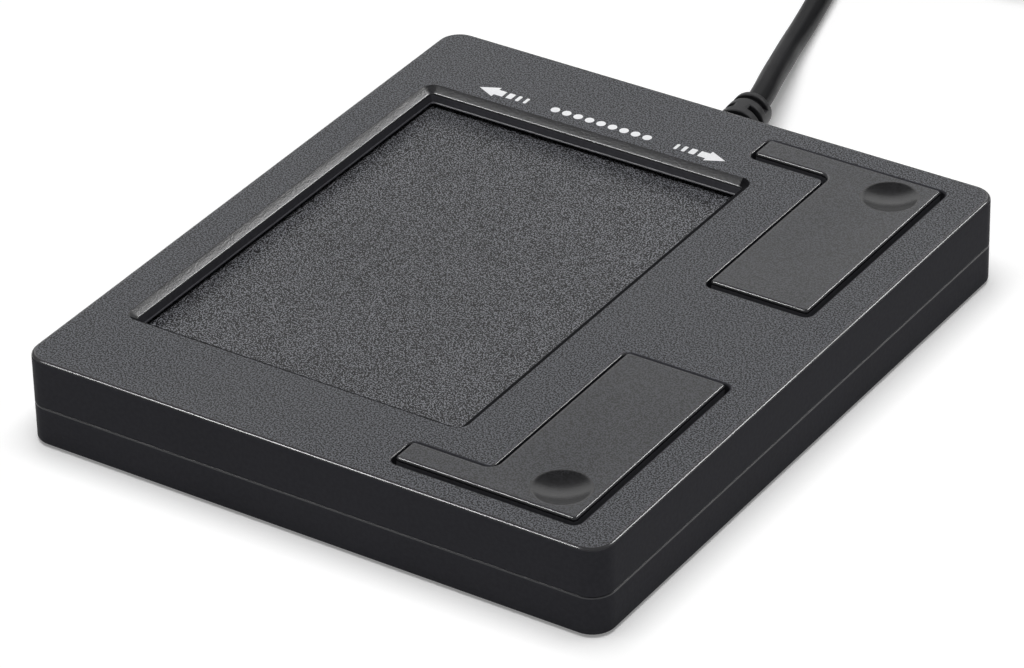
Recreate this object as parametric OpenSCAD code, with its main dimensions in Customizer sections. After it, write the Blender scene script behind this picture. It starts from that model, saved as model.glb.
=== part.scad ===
// Wired desk touch pad with a sunken touch window and two L-shaped click buttons.
// Millimetres. X runs left to right, Y front to back, Z up from the desk.
// The cable leaves the back edge, and the button column is on the right.

/* [Casing] */
// Width of the casing, left to right
body_w = 75; // [66:0.5:95]
// Depth of the casing, front to back
body_d = 86; // [78:0.5:110]
// Height of the casing, underside to top face
body_h = 10.9; // [10.5:0.1:14]
// Height of the lower shell, underside to the parting line
base_h = 4.9; // [4.6:0.1:5.6]
// Thickness of the side walls
wall = 2; // [1.8:0.1:2.4]
// Thickness of the roof
roof_t = 2; // [1.6:0.1:2.2]
// Thickness of the floor
floor_t = 1.7; // [1.2:0.1:1.9]
// Radius of the upright corners
corner_r = 2.8; // [2.4:0.1:4]
// Rounding of the top edge
top_edge_r = 0.45; // [0.2:0.05:0.8]
// Rounding of the bottom edge
base_edge_r = 0.5; // [0.2:0.05:0.8]
// Height of the locating lip inside the parting line
lip_h = 1; // [0.6:0.1:1.6]
// Thickness of the locating lip
lip_t = 0.9; // [0.6:0.1:1.1]
// Height of the seam groove at the parting line
seam_h = 0.12; // [0.06:0.02:0.3]
// Depth of the seam groove
seam_t = 0.3; // [0.1:0.05:0.5]
// Clearance between fixed mating pieces
fit = 0.1; // [0.05:0.01:0.15]

/* [Touch window] */
// Distance from the left side to the window's rim
window_margin = 4.88; // [4.4:0.02:8]
// Width of the strip between the window's rim and the buttons
window_gap = 7.3; // [6.6:0.1:12]
// Distance from the front and the back to the window's rim
window_end_margin = 12.4; // [11.8:0.1:18]
// Corner radius of the window's rim
window_corner_r = 1.5; // [1.2:0.1:3]
// Width of the sloped lip
slope_run = 0.9; // [0.4:0.05:1.1]
// Drop of the sloped lip
slope_drop = 0.75; // [0.3:0.05:1.2]
// Depth of the touch surface below the top face
touch_depth = 2.5; // [2.4:0.05:3.2]

/* [Touch sensor] */
// Thickness of the touch film
film_t = 0.3; // [0.2:0.05:0.5]
// Thickness of the adhesive under the film
glue_t = 0.1; // [0.05:0.01:0.2]
// Thickness of the sensor board
sensor_t = 1; // [0.8:0.1:1.2]
// Reach of the film and its board under the roof, past the window
film_reach = 2.5; // [2.2:0.1:2.6]
// Width of the foam tape frame that hangs the sensor under the roof
tape_w = 1.6; // [1:0.1:2]

/* [Buttons] */
// Width of a button's main panel
button_w = 12.52; // [11:0.02:12.6]
// Length of a button's main panel
button_l = 30.5; // [28:0.1:31]
// Length of the foot of the L beyond the main panel
leg_l = 10.18; // [8:0.02:11]
// Width of the foot of the L
leg_w = 3.6; // [3.2:0.1:4]
// Distance from the right side of the casing to a button
button_side_margin = 5.43; // [5.4:0.01:6]
// Distance from the end of the casing to a button
button_end_margin = 3.85; // [3.75:0.05:4.4]
// Gap between a button and its opening
button_gap = 0.45; // [0.35:0.05:0.5]
// Height of a button above the top face
button_proud = 0.45; // [0.2:0.05:0.8]
// Thickness of a button's plate
button_t = 1.6; // [1.2:0.1:1.8]
// Thickness of a button's skirt
skirt_t = 1; // [0.8:0.1:1.2]
// Corner radius of a button
button_corner_r = 0.45; // [0.4:0.05:0.6]
// Rounding of a button's top edge
button_edge_r = 0.35; // [0.1:0.05:0.38]
// Diameter of the finger dimple
dimple_d = 6.6; // [5:0.1:7]
// Depth of the finger dimple
dimple_depth = 0.6; // [0.3:0.05:0.8]
// Distance from a button's right side to the middle of its dimple
dimple_side = 4.37; // [4.2:0.01:5]
// Distance from a button's end to the middle of its dimple
dimple_end = 4.25; // [4.2:0.05:5]

/* [Button hinge] */
// Radius of the hinge stubs
stub_r = 0.75; // [0.6:0.05:0.8]
// Length of the hinge stubs
stub_l = 1.7; // [1.2:0.1:1.8]
// Running clearance round the stubs
stub_clear = 0.05; // [0.02:0.01:0.1]
// Distance from a button's inner end to its hinge
hinge_in = 1.6; // [1.5:0.1:2.5]
// Drop of the hinge below the underside of the roof
hinge_drop = 0.95; // [0.9:0.05:1.1]
// Thickness of the hinge ears under the roof
ear_t = 1.55; // [1.2:0.05:1.8]
// Reach of the catches under the roof
catch_reach = 0.9; // [0.6:0.1:1]
// Thickness of the catches
catch_t = 0.8; // [0.6:0.1:1]
// Clearance from the catches to the roof
catch_gap = 0.1; // [0.05:0.01:0.2]

/* [Switches] */
// Side of the square switch case
switch_w = 6; // [5:0.1:6]
// Height of the switch with its cover
switch_h = 3.3; // [3:0.1:3.4]
// Thickness of the switch cover
cover_t = 0.2; // [0.1:0.05:0.3]
// Rise of the plunger above the cover
plunger_rise = 1; // [0.6:0.1:1.1]
// Radius of the plunger
plunger_r = 1.75; // [1.4:0.05:1.8]
// Gap between a button's post and its plunger
post_gap = 0.05; // [0.03:0.01:0.1]
// Radius of a button's post
post_r = 1.5; // [1:0.1:1.7]

/* [Boards] */
// Width of the main board
board_w = 19.8; // [19.6:0.1:20.5]
// Thickness of both circuit boards' laminate on the main board
board_t = 1.2; // [1:0.1:1.3]
// Height of the main board above the floor
board_standoff = 1.2; // [1:0.1:1.4]
// Clearance from the main board to the walls
board_clear = 0.5; // [0.4:0.1:0.6]
// Width of the ribbon cable
ribbon_w = 12.5; // [10:0.5:13]
// Thickness of the ribbon cable
ribbon_t = 0.3; // [0.2:0.05:0.4]
// Diameter of the inner wires
wire_d = 0.75; // [0.6:0.05:0.8]

/* [Cable] */
// Diameter of the cable
cable_d = 3; // [2.8:0.1:3.1]
// Length of the strain relief outside the casing
boot_l = 10.9; // [8:0.1:11]
// Diameter of the strain relief at the casing
boot_root_d = 6.4; // [5.8:0.1:6.6]
// Diameter of the strain relief at its end
boot_end_d = 4.85; // [4.4:0.05:5.4]
// Angle at which the cable pulls the strain relief to the left
boot_turn = 9; // [0:0.5:12]
// Diameter of the neck through the back wall
neck_d = 4.9; // [4.6:0.1:5.4]
// Width of the slots in the strain relief
slot_w = 0.95; // [0.6:0.05:1.1]
// Spacing of the slots
slot_pitch = 2.3; // [2:0.1:2.6]
// Spacing of the turns in the stored coil
coil_pitch = 3.85; // [3.8:0.05:4.2]
// Turns in each layer of the coil between two climbs
layer_turns = 3.375; // [2.375:1:4.375]
// Radius of the coil at the middle of its turns
coil_mid_r = 17.8; // [16:0.1:20]
// Width of the strap that ties the coil
tie_w = 6; // [4:0.5:10]
// Thickness of the strap
tie_t = 0.4; // [0.2:0.05:0.45]

/* [Plug] */
// Length of the plug's moulded grip
grip_l = 21; // [18:0.5:26]
// Width of the grip
grip_w = 15.6; // [14:0.1:16]
// Height of the grip
grip_h = 8; // [7:0.1:9]
// Length of the grip's tapered tail
grip_tail = 9; // [6:0.5:12]
// Width of the metal plug shell
shell_w = 12; // [11.9:0.05:12.1]
// Height of the metal plug shell
shell_h = 4.5; // [4.4:0.05:4.6]
// Length of the metal plug shell outside the grip
shell_l = 12; // [11.7:0.1:12.5]
// Sheet thickness of the metal plug shell
shell_t = 0.3; // [0.2:0.05:0.4]

/* [Fasteners and feet] */
// Radius of the case screws
screw_r = 1.05; // [0.9:0.05:1.2]
// Radius of the case screw heads
head_r = 2; // [1.8:0.1:2.1]
// Height of the case screw heads
head_h = 1.4; // [1:0.1:1.6]
// Radius of the screw bosses
boss_r = 2.7; // [2.5:0.1:2.8]
// Radius of the board screws
board_screw_r = 0.9; // [0.8:0.05:1]
// Diameter of the rubber feet
foot_d = 8; // [6:0.5:9]
// Thickness of the rubber feet
foot_t = 0.8; // [0.6:0.1:1]
// Height by which the feet stand out of the floor
foot_proud = 0.3; // [0.2:0.05:0.4]
// Distance from the casing's sides to the middle of a foot
foot_inset = 6.2; // [6:0.1:9]

/* [Hidden] */
$fn = 48;
eps = 0.01;

// Levels, from the desk upwards
z_base = foot_proud;
z_floor = z_base + floor_t;
z_part = z_base + base_h;
z_top = z_base + body_h;
z_roof = z_top - roof_t;
z_touch = z_top - touch_depth;
z_glue = z_touch - film_t;
z_sensor_top = z_glue - glue_t;
z_sensor = z_sensor_top - sensor_t;
z_board_low = z_floor + board_standoff;
z_board = z_board_low + board_t;
z_button = z_top + button_proud;
z_plate = z_button - button_t;
z_catch = z_roof - catch_gap;
z_skirt = z_catch - catch_t;
z_cover = z_board + switch_h - cover_t;
z_plunger = z_board + switch_h + plunger_rise;
z_hinge = z_roof - hinge_drop;

// Casing in plan
half_w = body_w / 2;
half_d = body_d / 2;
in_w = half_w - wall;
in_d = half_d - wall;
inner_r = max(corner_r - wall, 0.4);

// Window and sensor in plan
window_w = body_w - window_margin - window_gap - button_w - button_side_margin;
window_d = body_d - 2 * window_end_margin;
window_x = -half_w + window_margin + window_w / 2;
clear_w = window_w - 2 * slope_run;
clear_d = window_d - 2 * slope_run;
film_w = clear_w + 2 * film_reach;
film_d = clear_d + 2 * film_reach;
film_x1 = window_x + film_w / 2;
film_corner_r = 1;
tape_inset = film_reach - tape_w;

// The back button in plan; the front one is its mirror image
bx1 = half_w - button_side_margin;
bx0 = bx1 - button_w;
by1 = half_d - button_end_margin;
by0 = by1 - button_l;
lx0 = bx0 - leg_l;
ly0 = by1 - leg_w;
dimple_x = bx1 - dimple_side;
dimple_y = by1 - dimple_end;
hinge_y = by0 + hinge_in;
opening_r = button_corner_r + button_gap;
lug_t = 1.2;
lug_half = 1.3;
ear_half = 1.7;
ear_drop = 1.3;
ear_mouth = 1.6 * stub_r;
catch_l = 8;

// Switch inside
case_floor = 0.6;
case_throat = 0.6;
cavity_r = plunger_r + 0.75;
flange_r = plunger_r + 0.55;
flange_t = 0.85;
nub_r = 0.9;
nub_h = 0.4;
dome_r = cavity_r - 0.3;
dome_h = 0.5;
dome_t = 0.1;
z_case_floor = z_board + case_floor;
z_throat = z_cover - case_throat;
z_flange = z_throat - fit - flange_t;
dome_ball = (dome_r * dome_r + dome_h * dome_h) / (2 * dome_h);

// Boards and what they carry
board_x1 = in_w - board_clear;
board_x0 = board_x1 - board_w;
board_x = (board_x0 + board_x1) / 2;
board_d = 2 * (in_d - board_clear - 0.3);
socket_l = 3.6;
socket_h = 1.9;
socket_w = ribbon_w + 3;
socket_grip = 1.2;
sensor_socket_x = film_x1 - 2 - socket_l;
main_socket_x = board_x0 + 1.2;
z_ribbon_high = z_sensor - socket_h / 2;
z_ribbon_low = z_board + socket_h / 2;
ribbon_from = sensor_socket_x + socket_l - socket_grip;
ribbon_to = main_socket_x + socket_grip;
ribbon_bend = 0.6;
header_from_end = 12.2;
header_y = board_d / 2 - header_from_end;
wire_pitch = 2;
wire_count = 4;
header_l = 3.6;
header_w = wire_count * wire_pitch + 2;
header_h = 2.8;
header_x = board_x0 + 0.2;
wire_plug_l = 4.2;
wire_plug_h = 2;
wire_plug_w = wire_count * wire_pitch + 0.4;
wire_plug_nose = 1.4;
wire_plug_x = header_x + wire_plug_nose - wire_plug_l;
z_wire_plug = z_board + (header_h - wire_plug_h) / 2;

// Screws, posts and feet
boss_from_wall = 3.7;
boss_from_left = 15.5;
case_screws_at = [
    [boss_from_left - in_w, in_d - boss_from_wall], [boss_from_left - in_w, boss_from_wall - in_d],
    [board_x + 2, 0]
];
screw_seat = 2.2;
screw_bite = 3.2;
pilot_spare = 0.3;
shank_clear = 0.15;
board_screw_in = 2.8;
board_screws_at = [for (side = [1, -1]) [board_x0 + board_screw_in, side * board_d / 5]];
board_head_r = 1.7;
board_head_h = 1.1;
board_screw_bite = 2.1;
board_post_r = 2;
sensor_post_side = 9;
sensor_post_end = 12;
sensor_posts_at = [for (x = [-1, 1], y = [-1, 1])
    [window_x + x * (film_w / 2 - sensor_post_side), y * (film_d / 2 - sensor_post_end)]];
sensor_post_r = 1.75;
feet_at = [for (x = [-1, 1], y = [-1, 1]) [x * (half_w - foot_inset), y * (half_d - foot_inset)]];

// Cable way through the back wall
flange_d = 6;
flange_l = 1.5;
boot_y = half_d + 0.05;
boot_start = 0.6;
collar_l = 1.3;
collar_step = 0.25;
bore_step = 0.3;
boot_bore = cable_d + 0.2;
boot_core_r = boot_bore / 2 + 0.4;
slot_count = 3;
slot_web = 0.9;
boot_lip = 0.95;

// Coil of stored cable behind the casing, wound from the outside in and then out again
coil_at = [2, 128, 2];
coil_start = 195;
coil_layers = 4;
loop_rings = 24;
climb_turns = 0.5;
stage_turns = layer_turns + climb_turns;
coil_turns = coil_layers * stage_turns - climb_turns;
coil_out_r = coil_mid_r + coil_pitch * layer_turns / 2;
coil_in_r = coil_mid_r - coil_pitch * layer_turns / 2;
coil_stop = coil_start - 360 * coil_turns;
coil_ahead = [sin(coil_start), -cos(coil_start), 0];
coil_away = [sin(coil_stop), -cos(coil_stop), 0];
coil_first = coil_point(0) - cable_d * coil_ahead;
coil_last = coil_point(coil_turns) + cable_d * coil_away;

// Free run of the cable, out of the casing, down to the desk and along it to the coil
run_route = [
    [0, 37.6, 5.2], [0, 43, 5.2], [-1.7, 53.8, 5.2], [-2.8, 58, 4.95], [-4.5, 63, 4.3],
    [-6.4, 68.5, 3.3], [-8.3, 74, 2.3], [-10.1, 80.2, 1.65], [-11.9, 87, 1.55], [-14, 94.6, 1.55],
    [-16.3, 103, 1.65], [-18.3, 110.2, 1.9], coil_first - cable_d * coil_ahead, coil_first
];
// Tail of the cable, off the top of the coil, round its outside and into the plug
tail_route = [
    coil_last, coil_last + cable_d * coil_away, [-23.9, 131.8, 13.3], [-24.2, 136.8, 12.4],
    [-23, 142.8, 10.7], [-20.2, 148.6, 8.5], [-15.6, 153.6, 6.2], [-10, 157.4, 4.7], [-4.6, 159.5, 4.1],
    [0, 160, 4], [4, 160, 4]
];

// Plug at the end of the tail
plug_x = 4;
plug_y = 160;
plug_z = grip_h / 2;
grip_x = plug_x + grip_tail;
shell_x = grip_x + grip_l;
shell_in = 7;
tongue_t = 1.9;
tongue_l = 17;
contact_w = 1;
contact_l = 7;
contact_t = 0.2;

function unit(v) = v / norm(v);
function heading(p, i) = unit(p[min(i + 1, len(p) - 1)] - p[max(i - 1, 0)]);

// A ring of points round point i of a route, square to the route
function ring(p, i, r, sides) =
    let (ahead = heading(p, i), side = unit(cross(ahead, [0, 0, 1])), over = cross(side, ahead))
    [for (k = [0 : sides - 1]) p[i] + r * (cos(360 * k / sides) * side + sin(360 * k / sides) * over)];

// One closed tube along a route
module tube(route, d, sides) {
    last = len(route) - 1;
    points = [for (i = [0 : last]) each ring(route, i, d / 2, sides)];
    skin = [for (i = [0 : last - 1], k = [0 : sides - 1])
        let (a = i * sides + k, b = i * sides + (k + 1) % sides)
        each [[a, b, a + sides], [b, b + sides, a + sides]]];
    ends = [for (k = [1 : sides - 2])
        each [[0, k + 1, k], [last * sides, last * sides + k, last * sides + k + 1]]];
    polyhedron(points, concat(skin, ends), convexity = 10);
}

// Section of an upright side from the middle out, with rounded lower and upper edges
module side_section(reach, z0, z1, low_r, top_r) {
    difference() {
        translate([0, z0]) square([reach, z1 - z0]);
        if (top_r > 0)
            difference() {
                translate([reach - top_r, z1 - top_r]) square(2 * top_r);
                translate([reach - top_r, z1 - top_r]) circle(top_r);
            }
        if (low_r > 0)
            difference() {
                translate([reach - low_r, z0 - low_r]) square(2 * low_r);
                translate([reach - low_r, z0 + low_r]) circle(low_r);
            }
    }
}

// Two slabs and four round posts that share one section make a block with true round edges
module rounded_block(w, d, z0, z1, r, low_r = 0, top_r = 0) {
    for (turn = [0, 90])
        rotate([90, 0, turn])
            linear_extrude((turn == 0 ? d : w) - 2 * r, center = true)
                for (side = [0, 1])
                    mirror([side, 0])
                        side_section((turn == 0 ? w : d) / 2, z0, z1, low_r, top_r);
    for (x = [-1, 1], y = [-1, 1])
        translate([x * (w / 2 - r), y * (d / 2 - r), 0])
            rotate_extrude() side_section(r, z0, z1, low_r, top_r);
}

// A block between two corners in plan
module block_at(x0, y0, x1, y1, z0, z1, r, low_r = 0, top_r = 0) {
    translate([(x0 + x1) / 2, (y0 + y1) / 2, 0])
        rounded_block(x1 - x0, y1 - y0, z0, z1, r, low_r, top_r);
}

module box(x0, y0, z0, x1, y1, z1) {
    translate([x0, y0, z0]) cube([x1 - x0, y1 - y0, z1 - z0]);
}

// Section of the window cut, from the middle out: a sloped lip over an upright wall
module window_section(reach) {
    polygon([
        [0, z_roof - 1], [reach - slope_run, z_roof - 1], [reach - slope_run, z_top - slope_drop],
        [reach, z_top], [reach, z_top + 1], [0, z_top + 1]
    ]);
}

module window_cut() {
    r = window_corner_r;
    translate([window_x, 0, 0]) {
        for (turn = [0, 90])
            rotate([90, 0, turn])
                linear_extrude((turn == 0 ? window_d : window_w) - 2 * r, center = true)
                    for (side = [0, 1])
                        mirror([side, 0]) window_section((turn == 0 ? window_w : window_d) / 2);
        for (x = [-1, 1], y = [-1, 1])
            translate([x * (window_w / 2 - r), y * (window_d / 2 - r), 0])
                rotate_extrude() window_section(r);
    }
}

// The L of a back button, grown by an amount all round
module button_block(grow, z0, z1, r, top_r = 0) {
    block_at(bx0 - grow, by0 - grow, bx1 + grow, by1 + grow, z0, z1, r, 0, top_r);
    block_at(lx0 - grow, ly0 - grow, bx0 + skirt_t + 2 * r, by1 + grow, z0, z1, r, 0, top_r);
}

// Runs its children for the back button and for the front one
module both_buttons() {
    children();
    mirror([0, 1, 0]) children();
}

// A cylinder along X, and one along Y
module rod_x(x0, x1, y, z, r) {
    translate([x0, y, z]) rotate([0, 90, 0]) cylinder(h = x1 - x0, r = r);
}

module rod_y(y0, y1, x, z, r) {
    translate([x, y0, z]) rotate([-90, 0, 0]) cylinder(h = y1 - y0, r = r);
}

// Snap-in hinge ears under the roof, one on each side of a button
module hinge_ears() {
    for (x0 = [bx0 - button_gap - ear_t, bx1 + button_gap])
        difference() {
            box(x0, hinge_y - ear_half, z_hinge - ear_drop, x0 + ear_t, hinge_y + ear_half, z_roof + eps);
            rod_x(x0 - 1, x0 + ear_t + 1, hinge_y, z_hinge, stub_r + stub_clear);
            box(x0 - 1, hinge_y - ear_mouth / 2, z_hinge - ear_drop - 1,
                x0 + ear_t + 1, hinge_y + ear_mouth / 2, z_hinge);
        }
}

module top_shell() {
    color("#34363a")
    difference() {
        union() {
            difference() {
                rounded_block(body_w, body_d, z_part, z_top, corner_r, 0, top_edge_r);
                rounded_block(2 * in_w, 2 * in_d, z_part - 1, z_roof, inner_r);
                lip_room = wall - lip_t - fit;
                rounded_block(body_w - 2 * lip_room, body_d - 2 * lip_room, z_part - 1,
                    z_part + lip_h + fit, corner_r - lip_room);
                window_cut();
                both_buttons()
                    button_block(button_gap, z_roof - 1, z_top + 1, opening_r);
            }
            both_buttons() hinge_ears();
            for (at = case_screws_at)
                translate([at.x, at.y, z_part]) cylinder(h = z_roof - z_part + eps, r = boss_r);
        }
        for (at = case_screws_at)
            translate([at.x, at.y, z_part - 1]) cylinder(h = 1 + screw_bite + pilot_spare, r = screw_r + 0.05);
        rod_y(in_d - 1, half_d + 1, 0, z_part, neck_d / 2 + fit / 2);
    }
}

module bottom_shell() {
    lip_in = wall - lip_t;
    color("#2b2c30")
    difference() {
        union() {
            difference() {
                union() {
                    rounded_block(body_w, body_d, z_base, z_part, corner_r, base_edge_r, 0);
                    rounded_block(body_w - 2 * lip_in, body_d - 2 * lip_in, z_part - 1, z_part + lip_h,
                        corner_r - lip_in);
                }
                rounded_block(2 * in_w, 2 * in_d, z_floor, z_part + lip_h + 1, inner_r);
                difference() {
                    rounded_block(body_w + 2, body_d + 2, z_part - seam_h, z_part + eps, corner_r + 1);
                    rounded_block(body_w - 2 * seam_t, body_d - 2 * seam_t, z_part - 1, z_part + 1,
                        corner_r - seam_t);
                }
            }
            for (at = case_screws_at)
                translate([at.x, at.y, z_floor - eps]) cylinder(h = z_part - z_floor + eps, r = boss_r);
            for (at = board_screws_at)
                translate([at.x, at.y, z_floor - eps]) cylinder(h = board_standoff + eps, r = board_post_r);
            for (y = [-1, 1])
                translate([dimple_x, y * dimple_y, z_floor - eps])
                    cylinder(h = board_standoff + eps, r = board_post_r);
            for (at = sensor_posts_at)
                translate([at.x, at.y, z_floor - eps])
                    cylinder(h = z_sensor - fit - z_floor + eps, r = sensor_post_r);
        }
        for (at = case_screws_at)
            translate([at.x, at.y, 0]) {
                cylinder(h = z_part + 1, r = screw_r + shank_clear);
                cylinder(h = z_base + screw_seat, r = head_r + 0.2);
            }
        for (at = board_screws_at)
            translate([at.x, at.y, z_board_low - board_screw_bite - pilot_spare])
                cylinder(h = board_screw_bite + pilot_spare + 1, r = board_screw_r + 0.05);
        for (at = feet_at)
            translate([at.x, at.y, 0]) cylinder(h = foot_t, r = foot_d / 2 + fit);
        rod_y(in_d - 1, half_d + 1, 0, z_part, neck_d / 2 + fit / 2);
    }
}

module sensor_sheet(z0, z1) {
    translate([window_x, 0, 0]) rounded_block(film_w, film_d, z0, z1, film_corner_r);
}

module touch_film() { color("#3d3e40") sensor_sheet(z_glue, z_touch); }

module film_adhesive() { color("#d8d6cc") sensor_sheet(z_sensor_top, z_glue); }

module sensor_board() { color("#1f5a3a") sensor_sheet(z_sensor, z_sensor_top); }

module sensor_tape_frame() {
    color("#1b1b1c")
    difference() {
        sensor_sheet(z_touch, z_roof);
        translate([window_x, 0, 0])
            rounded_block(clear_w + 2 * tape_inset, clear_d + 2 * tape_inset, z_touch - 1, z_roof + 1, 0.5);
    }
}

module touch_chip() {
    chip_w = 6;
    color("#202124")
    box(window_x - chip_w / 2, -chip_w / 2, z_sensor - 0.9, window_x + chip_w / 2, chip_w / 2, z_sensor);
}

module sensor_capacitors() {
    cap_l = 1.6;
    cap_w = 0.8;
    cap_pitch = 2.4;
    cap_x = 6;
    color("#b08d5a")
    for (i = [-1.5 : 1 : 1.5])
        box(window_x + cap_x, i * cap_pitch - cap_w / 2, z_sensor - cap_w,
            window_x + cap_x + cap_l, i * cap_pitch + cap_w / 2, z_sensor);
}

// A flat ribbon socket, open on one side
module ribbon_socket(x0, z0, slot_x0, slot_x1, z_slot) {
    difference() {
        box(x0, -socket_w / 2, z0, x0 + socket_l, socket_w / 2, z0 + socket_h);
        box(slot_x0, -ribbon_w / 2 - fit, z_slot - ribbon_t / 2 - fit / 2,
            slot_x1, ribbon_w / 2 + fit, z_slot + ribbon_t / 2 + fit / 2);
    }
}

module sensor_ribbon_socket() {
    color("#e6e0d0")
    ribbon_socket(sensor_socket_x, z_sensor - socket_h, ribbon_from - fit, sensor_socket_x + socket_l + 1,
        z_ribbon_high);
}

module main_ribbon_socket() {
    color("#e6e0d0")
    ribbon_socket(main_socket_x, z_board, main_socket_x - 1, ribbon_to + fit, z_ribbon_low);
}

module ribbon_cable() {
    t = ribbon_t / 2;
    high_end = sensor_socket_x + socket_l + ribbon_bend;
    low_end = main_socket_x - ribbon_bend;
    color("#c9cdd2")
    rotate([90, 0, 0])
        linear_extrude(ribbon_w, center = true)
            polygon([
                [ribbon_from, z_ribbon_high - t], [high_end, z_ribbon_high - t],
                [low_end, z_ribbon_low - t], [ribbon_to, z_ribbon_low - t],
                [ribbon_to, z_ribbon_low + t], [low_end, z_ribbon_low + t],
                [high_end, z_ribbon_high + t], [ribbon_from, z_ribbon_high + t]
            ]);
}

module main_board() {
    color("#1d5f3c")
    difference() {
        translate([board_x, 0, 0]) rounded_block(board_w, board_d, z_board_low, z_board, 1);
        for (at = case_screws_at)
            translate([at.x, at.y, z_board_low - 1]) cylinder(h = board_t + 2, r = boss_r + 0.4);
        for (at = board_screws_at)
            translate([at.x, at.y, z_board_low - 1]) cylinder(h = board_t + 2, r = board_screw_r + 0.15);
    }
}

module usb_chip() {
    chip_l = 10;
    chip_w = 4;
    chip_h = 1.5;
    chip_y = -board_d * 0.21;
    color("#1e1f22") {
        box(board_x - chip_w / 2, chip_y - chip_l / 2, z_board + 0.1,
            board_x + chip_w / 2, chip_y + chip_l / 2, z_board + chip_h);
        for (i = [0 : 7], side = [-1, 1])
            translate([board_x + side * (chip_w / 2 + 0.4), chip_y + (i - 3.5) * 1.2, z_board + 0.2])
                cube([1.2, 0.45, 0.4], center = true);
    }
}

module crystal() {
    can_w = 4.4;
    can_l = 10.6;
    can_h = 3;
    can_x = 6.2;
    color("#c4c6c8")
    translate([board_x + can_x, -board_d * 0.21, 0])
        rounded_block(can_w, can_l, z_board, z_board + can_h, can_w * 0.45, 0, 0.3);
}

module chip_row(count, x, y, l, w, h) {
    for (i = [0 : count - 1])
        translate([x - l / 2, y + 2 * i - w / 2, z_board]) cube([l, w, h]);
}

module chip_capacitors() { color("#b08d5a") chip_row(5, board_x - 5.5, -board_d * 0.35, 1.6, 0.9, 0.8); }

module chip_resistors() { color("#26272a") chip_row(6, board_x, board_d * 0.17, 1.6, 0.9, 0.5); }

module wire_header() {
    color("#ece7d8")
    difference() {
        box(header_x, header_y - header_w / 2, z_board,
            header_x + header_l, header_y + header_w / 2, z_board + header_h);
        box(header_x - 1, header_y - wire_plug_w / 2 - fit, z_wire_plug - fit,
            header_x + wire_plug_nose + fit, header_y + wire_plug_w / 2 + fit, z_wire_plug + wire_plug_h + fit);
    }
}

module wire_plug() {
    color("#f2eee2")
    box(wire_plug_x, header_y - wire_plug_w / 2, z_wire_plug,
        wire_plug_x + wire_plug_l, header_y + wire_plug_w / 2, z_wire_plug + wire_plug_h);
}

// One inner wire, from the end of the cable's jacket to its place in the wire plug
module inner_wire(slot, from_x, from_z) {
    start = run_route[0] + [from_x, 0, from_z];
    end = [wire_plug_x, header_y + ((wire_count - 1) / 2 - slot) * wire_pitch, z_wire_plug + wire_plug_h / 2];
    tube([start, start - [0, 1.2, 0], end - [1.6, 0, 0], end], wire_d, 8);
}

module wire_red() { color("#b3202a") inner_wire(0, 0.55, 0.55); }

module wire_white() { color("#e8e8e4") inner_wire(1, 0.55, -0.55); }

module wire_green() { color("#2c8a4a") inner_wire(2, -0.55, 0.55); }

module wire_black() { color("#1a1a1a") inner_wire(3, -0.55, -0.55); }

// A back button: an L-shaped cap with a skirt, two hinge stubs, three catches and a switch post
module button_cap() {
    ball = (pow(dimple_d / 2, 2) + pow(dimple_depth, 2)) / (2 * dimple_depth);
    reach = button_gap + catch_reach;
    catch_y = (by0 + by1) / 2 + 5;
    difference() {
        union() {
            difference() {
                button_block(0, z_skirt, z_button, button_corner_r, button_edge_r);
                button_block(-skirt_t, z_skirt - 1, z_plate, 0.2);
            }
            for (x0 = [bx0, bx1 - lug_t])
                box(x0, hinge_y - lug_half, z_hinge - ear_drop, x0 + lug_t, hinge_y + lug_half, z_plate + eps);
            rod_x(bx0 - stub_l, bx0 + lug_t, hinge_y, z_hinge, stub_r);
            rod_x(bx1 - lug_t, bx1 + stub_l, hinge_y, z_hinge, stub_r);
            box(bx1 - skirt_t, catch_y - catch_l / 2, z_skirt, bx1 + reach, catch_y + catch_l / 2, z_catch);
            box(dimple_x - catch_l / 2, by1 - skirt_t, z_skirt, dimple_x + catch_l / 2, by1 + reach, z_catch);
            box(lx0 - reach, ly0 + 0.5, z_skirt, lx0 + skirt_t, by1 - 0.5, z_catch);
            translate([dimple_x, dimple_y, z_plunger + post_gap])
                cylinder(h = z_plate - z_plunger - post_gap + eps, r = post_r);
        }
        translate([dimple_x, dimple_y, z_button + ball - dimple_depth]) sphere(ball, $fn = 96);
    }
}

module back_button() { color("#323438") button_cap(); }

module front_button() { color("#323438") mirror([0, 1, 0]) button_cap(); }

// Puts a switch piece under the back dimple, or under the front one
module under_dimple(side) { translate([dimple_x, side * dimple_y, 0]) children(); }

module switch_block(z0, z1) {
    translate([-switch_w / 2, -switch_w / 2, z0]) cube([switch_w, switch_w, z1 - z0]);
}

module switch_case() {
    color("#17181a")
    difference() {
        switch_block(z_board, z_cover);
        translate([0, 0, z_case_floor]) cylinder(h = z_throat - z_case_floor, r = cavity_r);
        translate([0, 0, z_throat - 1]) cylinder(h = case_throat + 2, r = plunger_r + fit);
    }
}

module switch_cover() {
    color("#b9bcc0")
    difference() {
        switch_block(z_cover, z_cover + cover_t);
        translate([0, 0, z_cover - 1]) cylinder(h = cover_t + 2, r = plunger_r + fit);
    }
}

module switch_plunger() {
    color("#101113") {
        translate([0, 0, z_flange]) cylinder(h = flange_t, r = flange_r);
        translate([0, 0, z_flange]) cylinder(h = z_plunger - z_flange, r = plunger_r);
        translate([0, 0, z_flange - nub_h]) cylinder(h = nub_h + eps, r = nub_r);
    }
}

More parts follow.
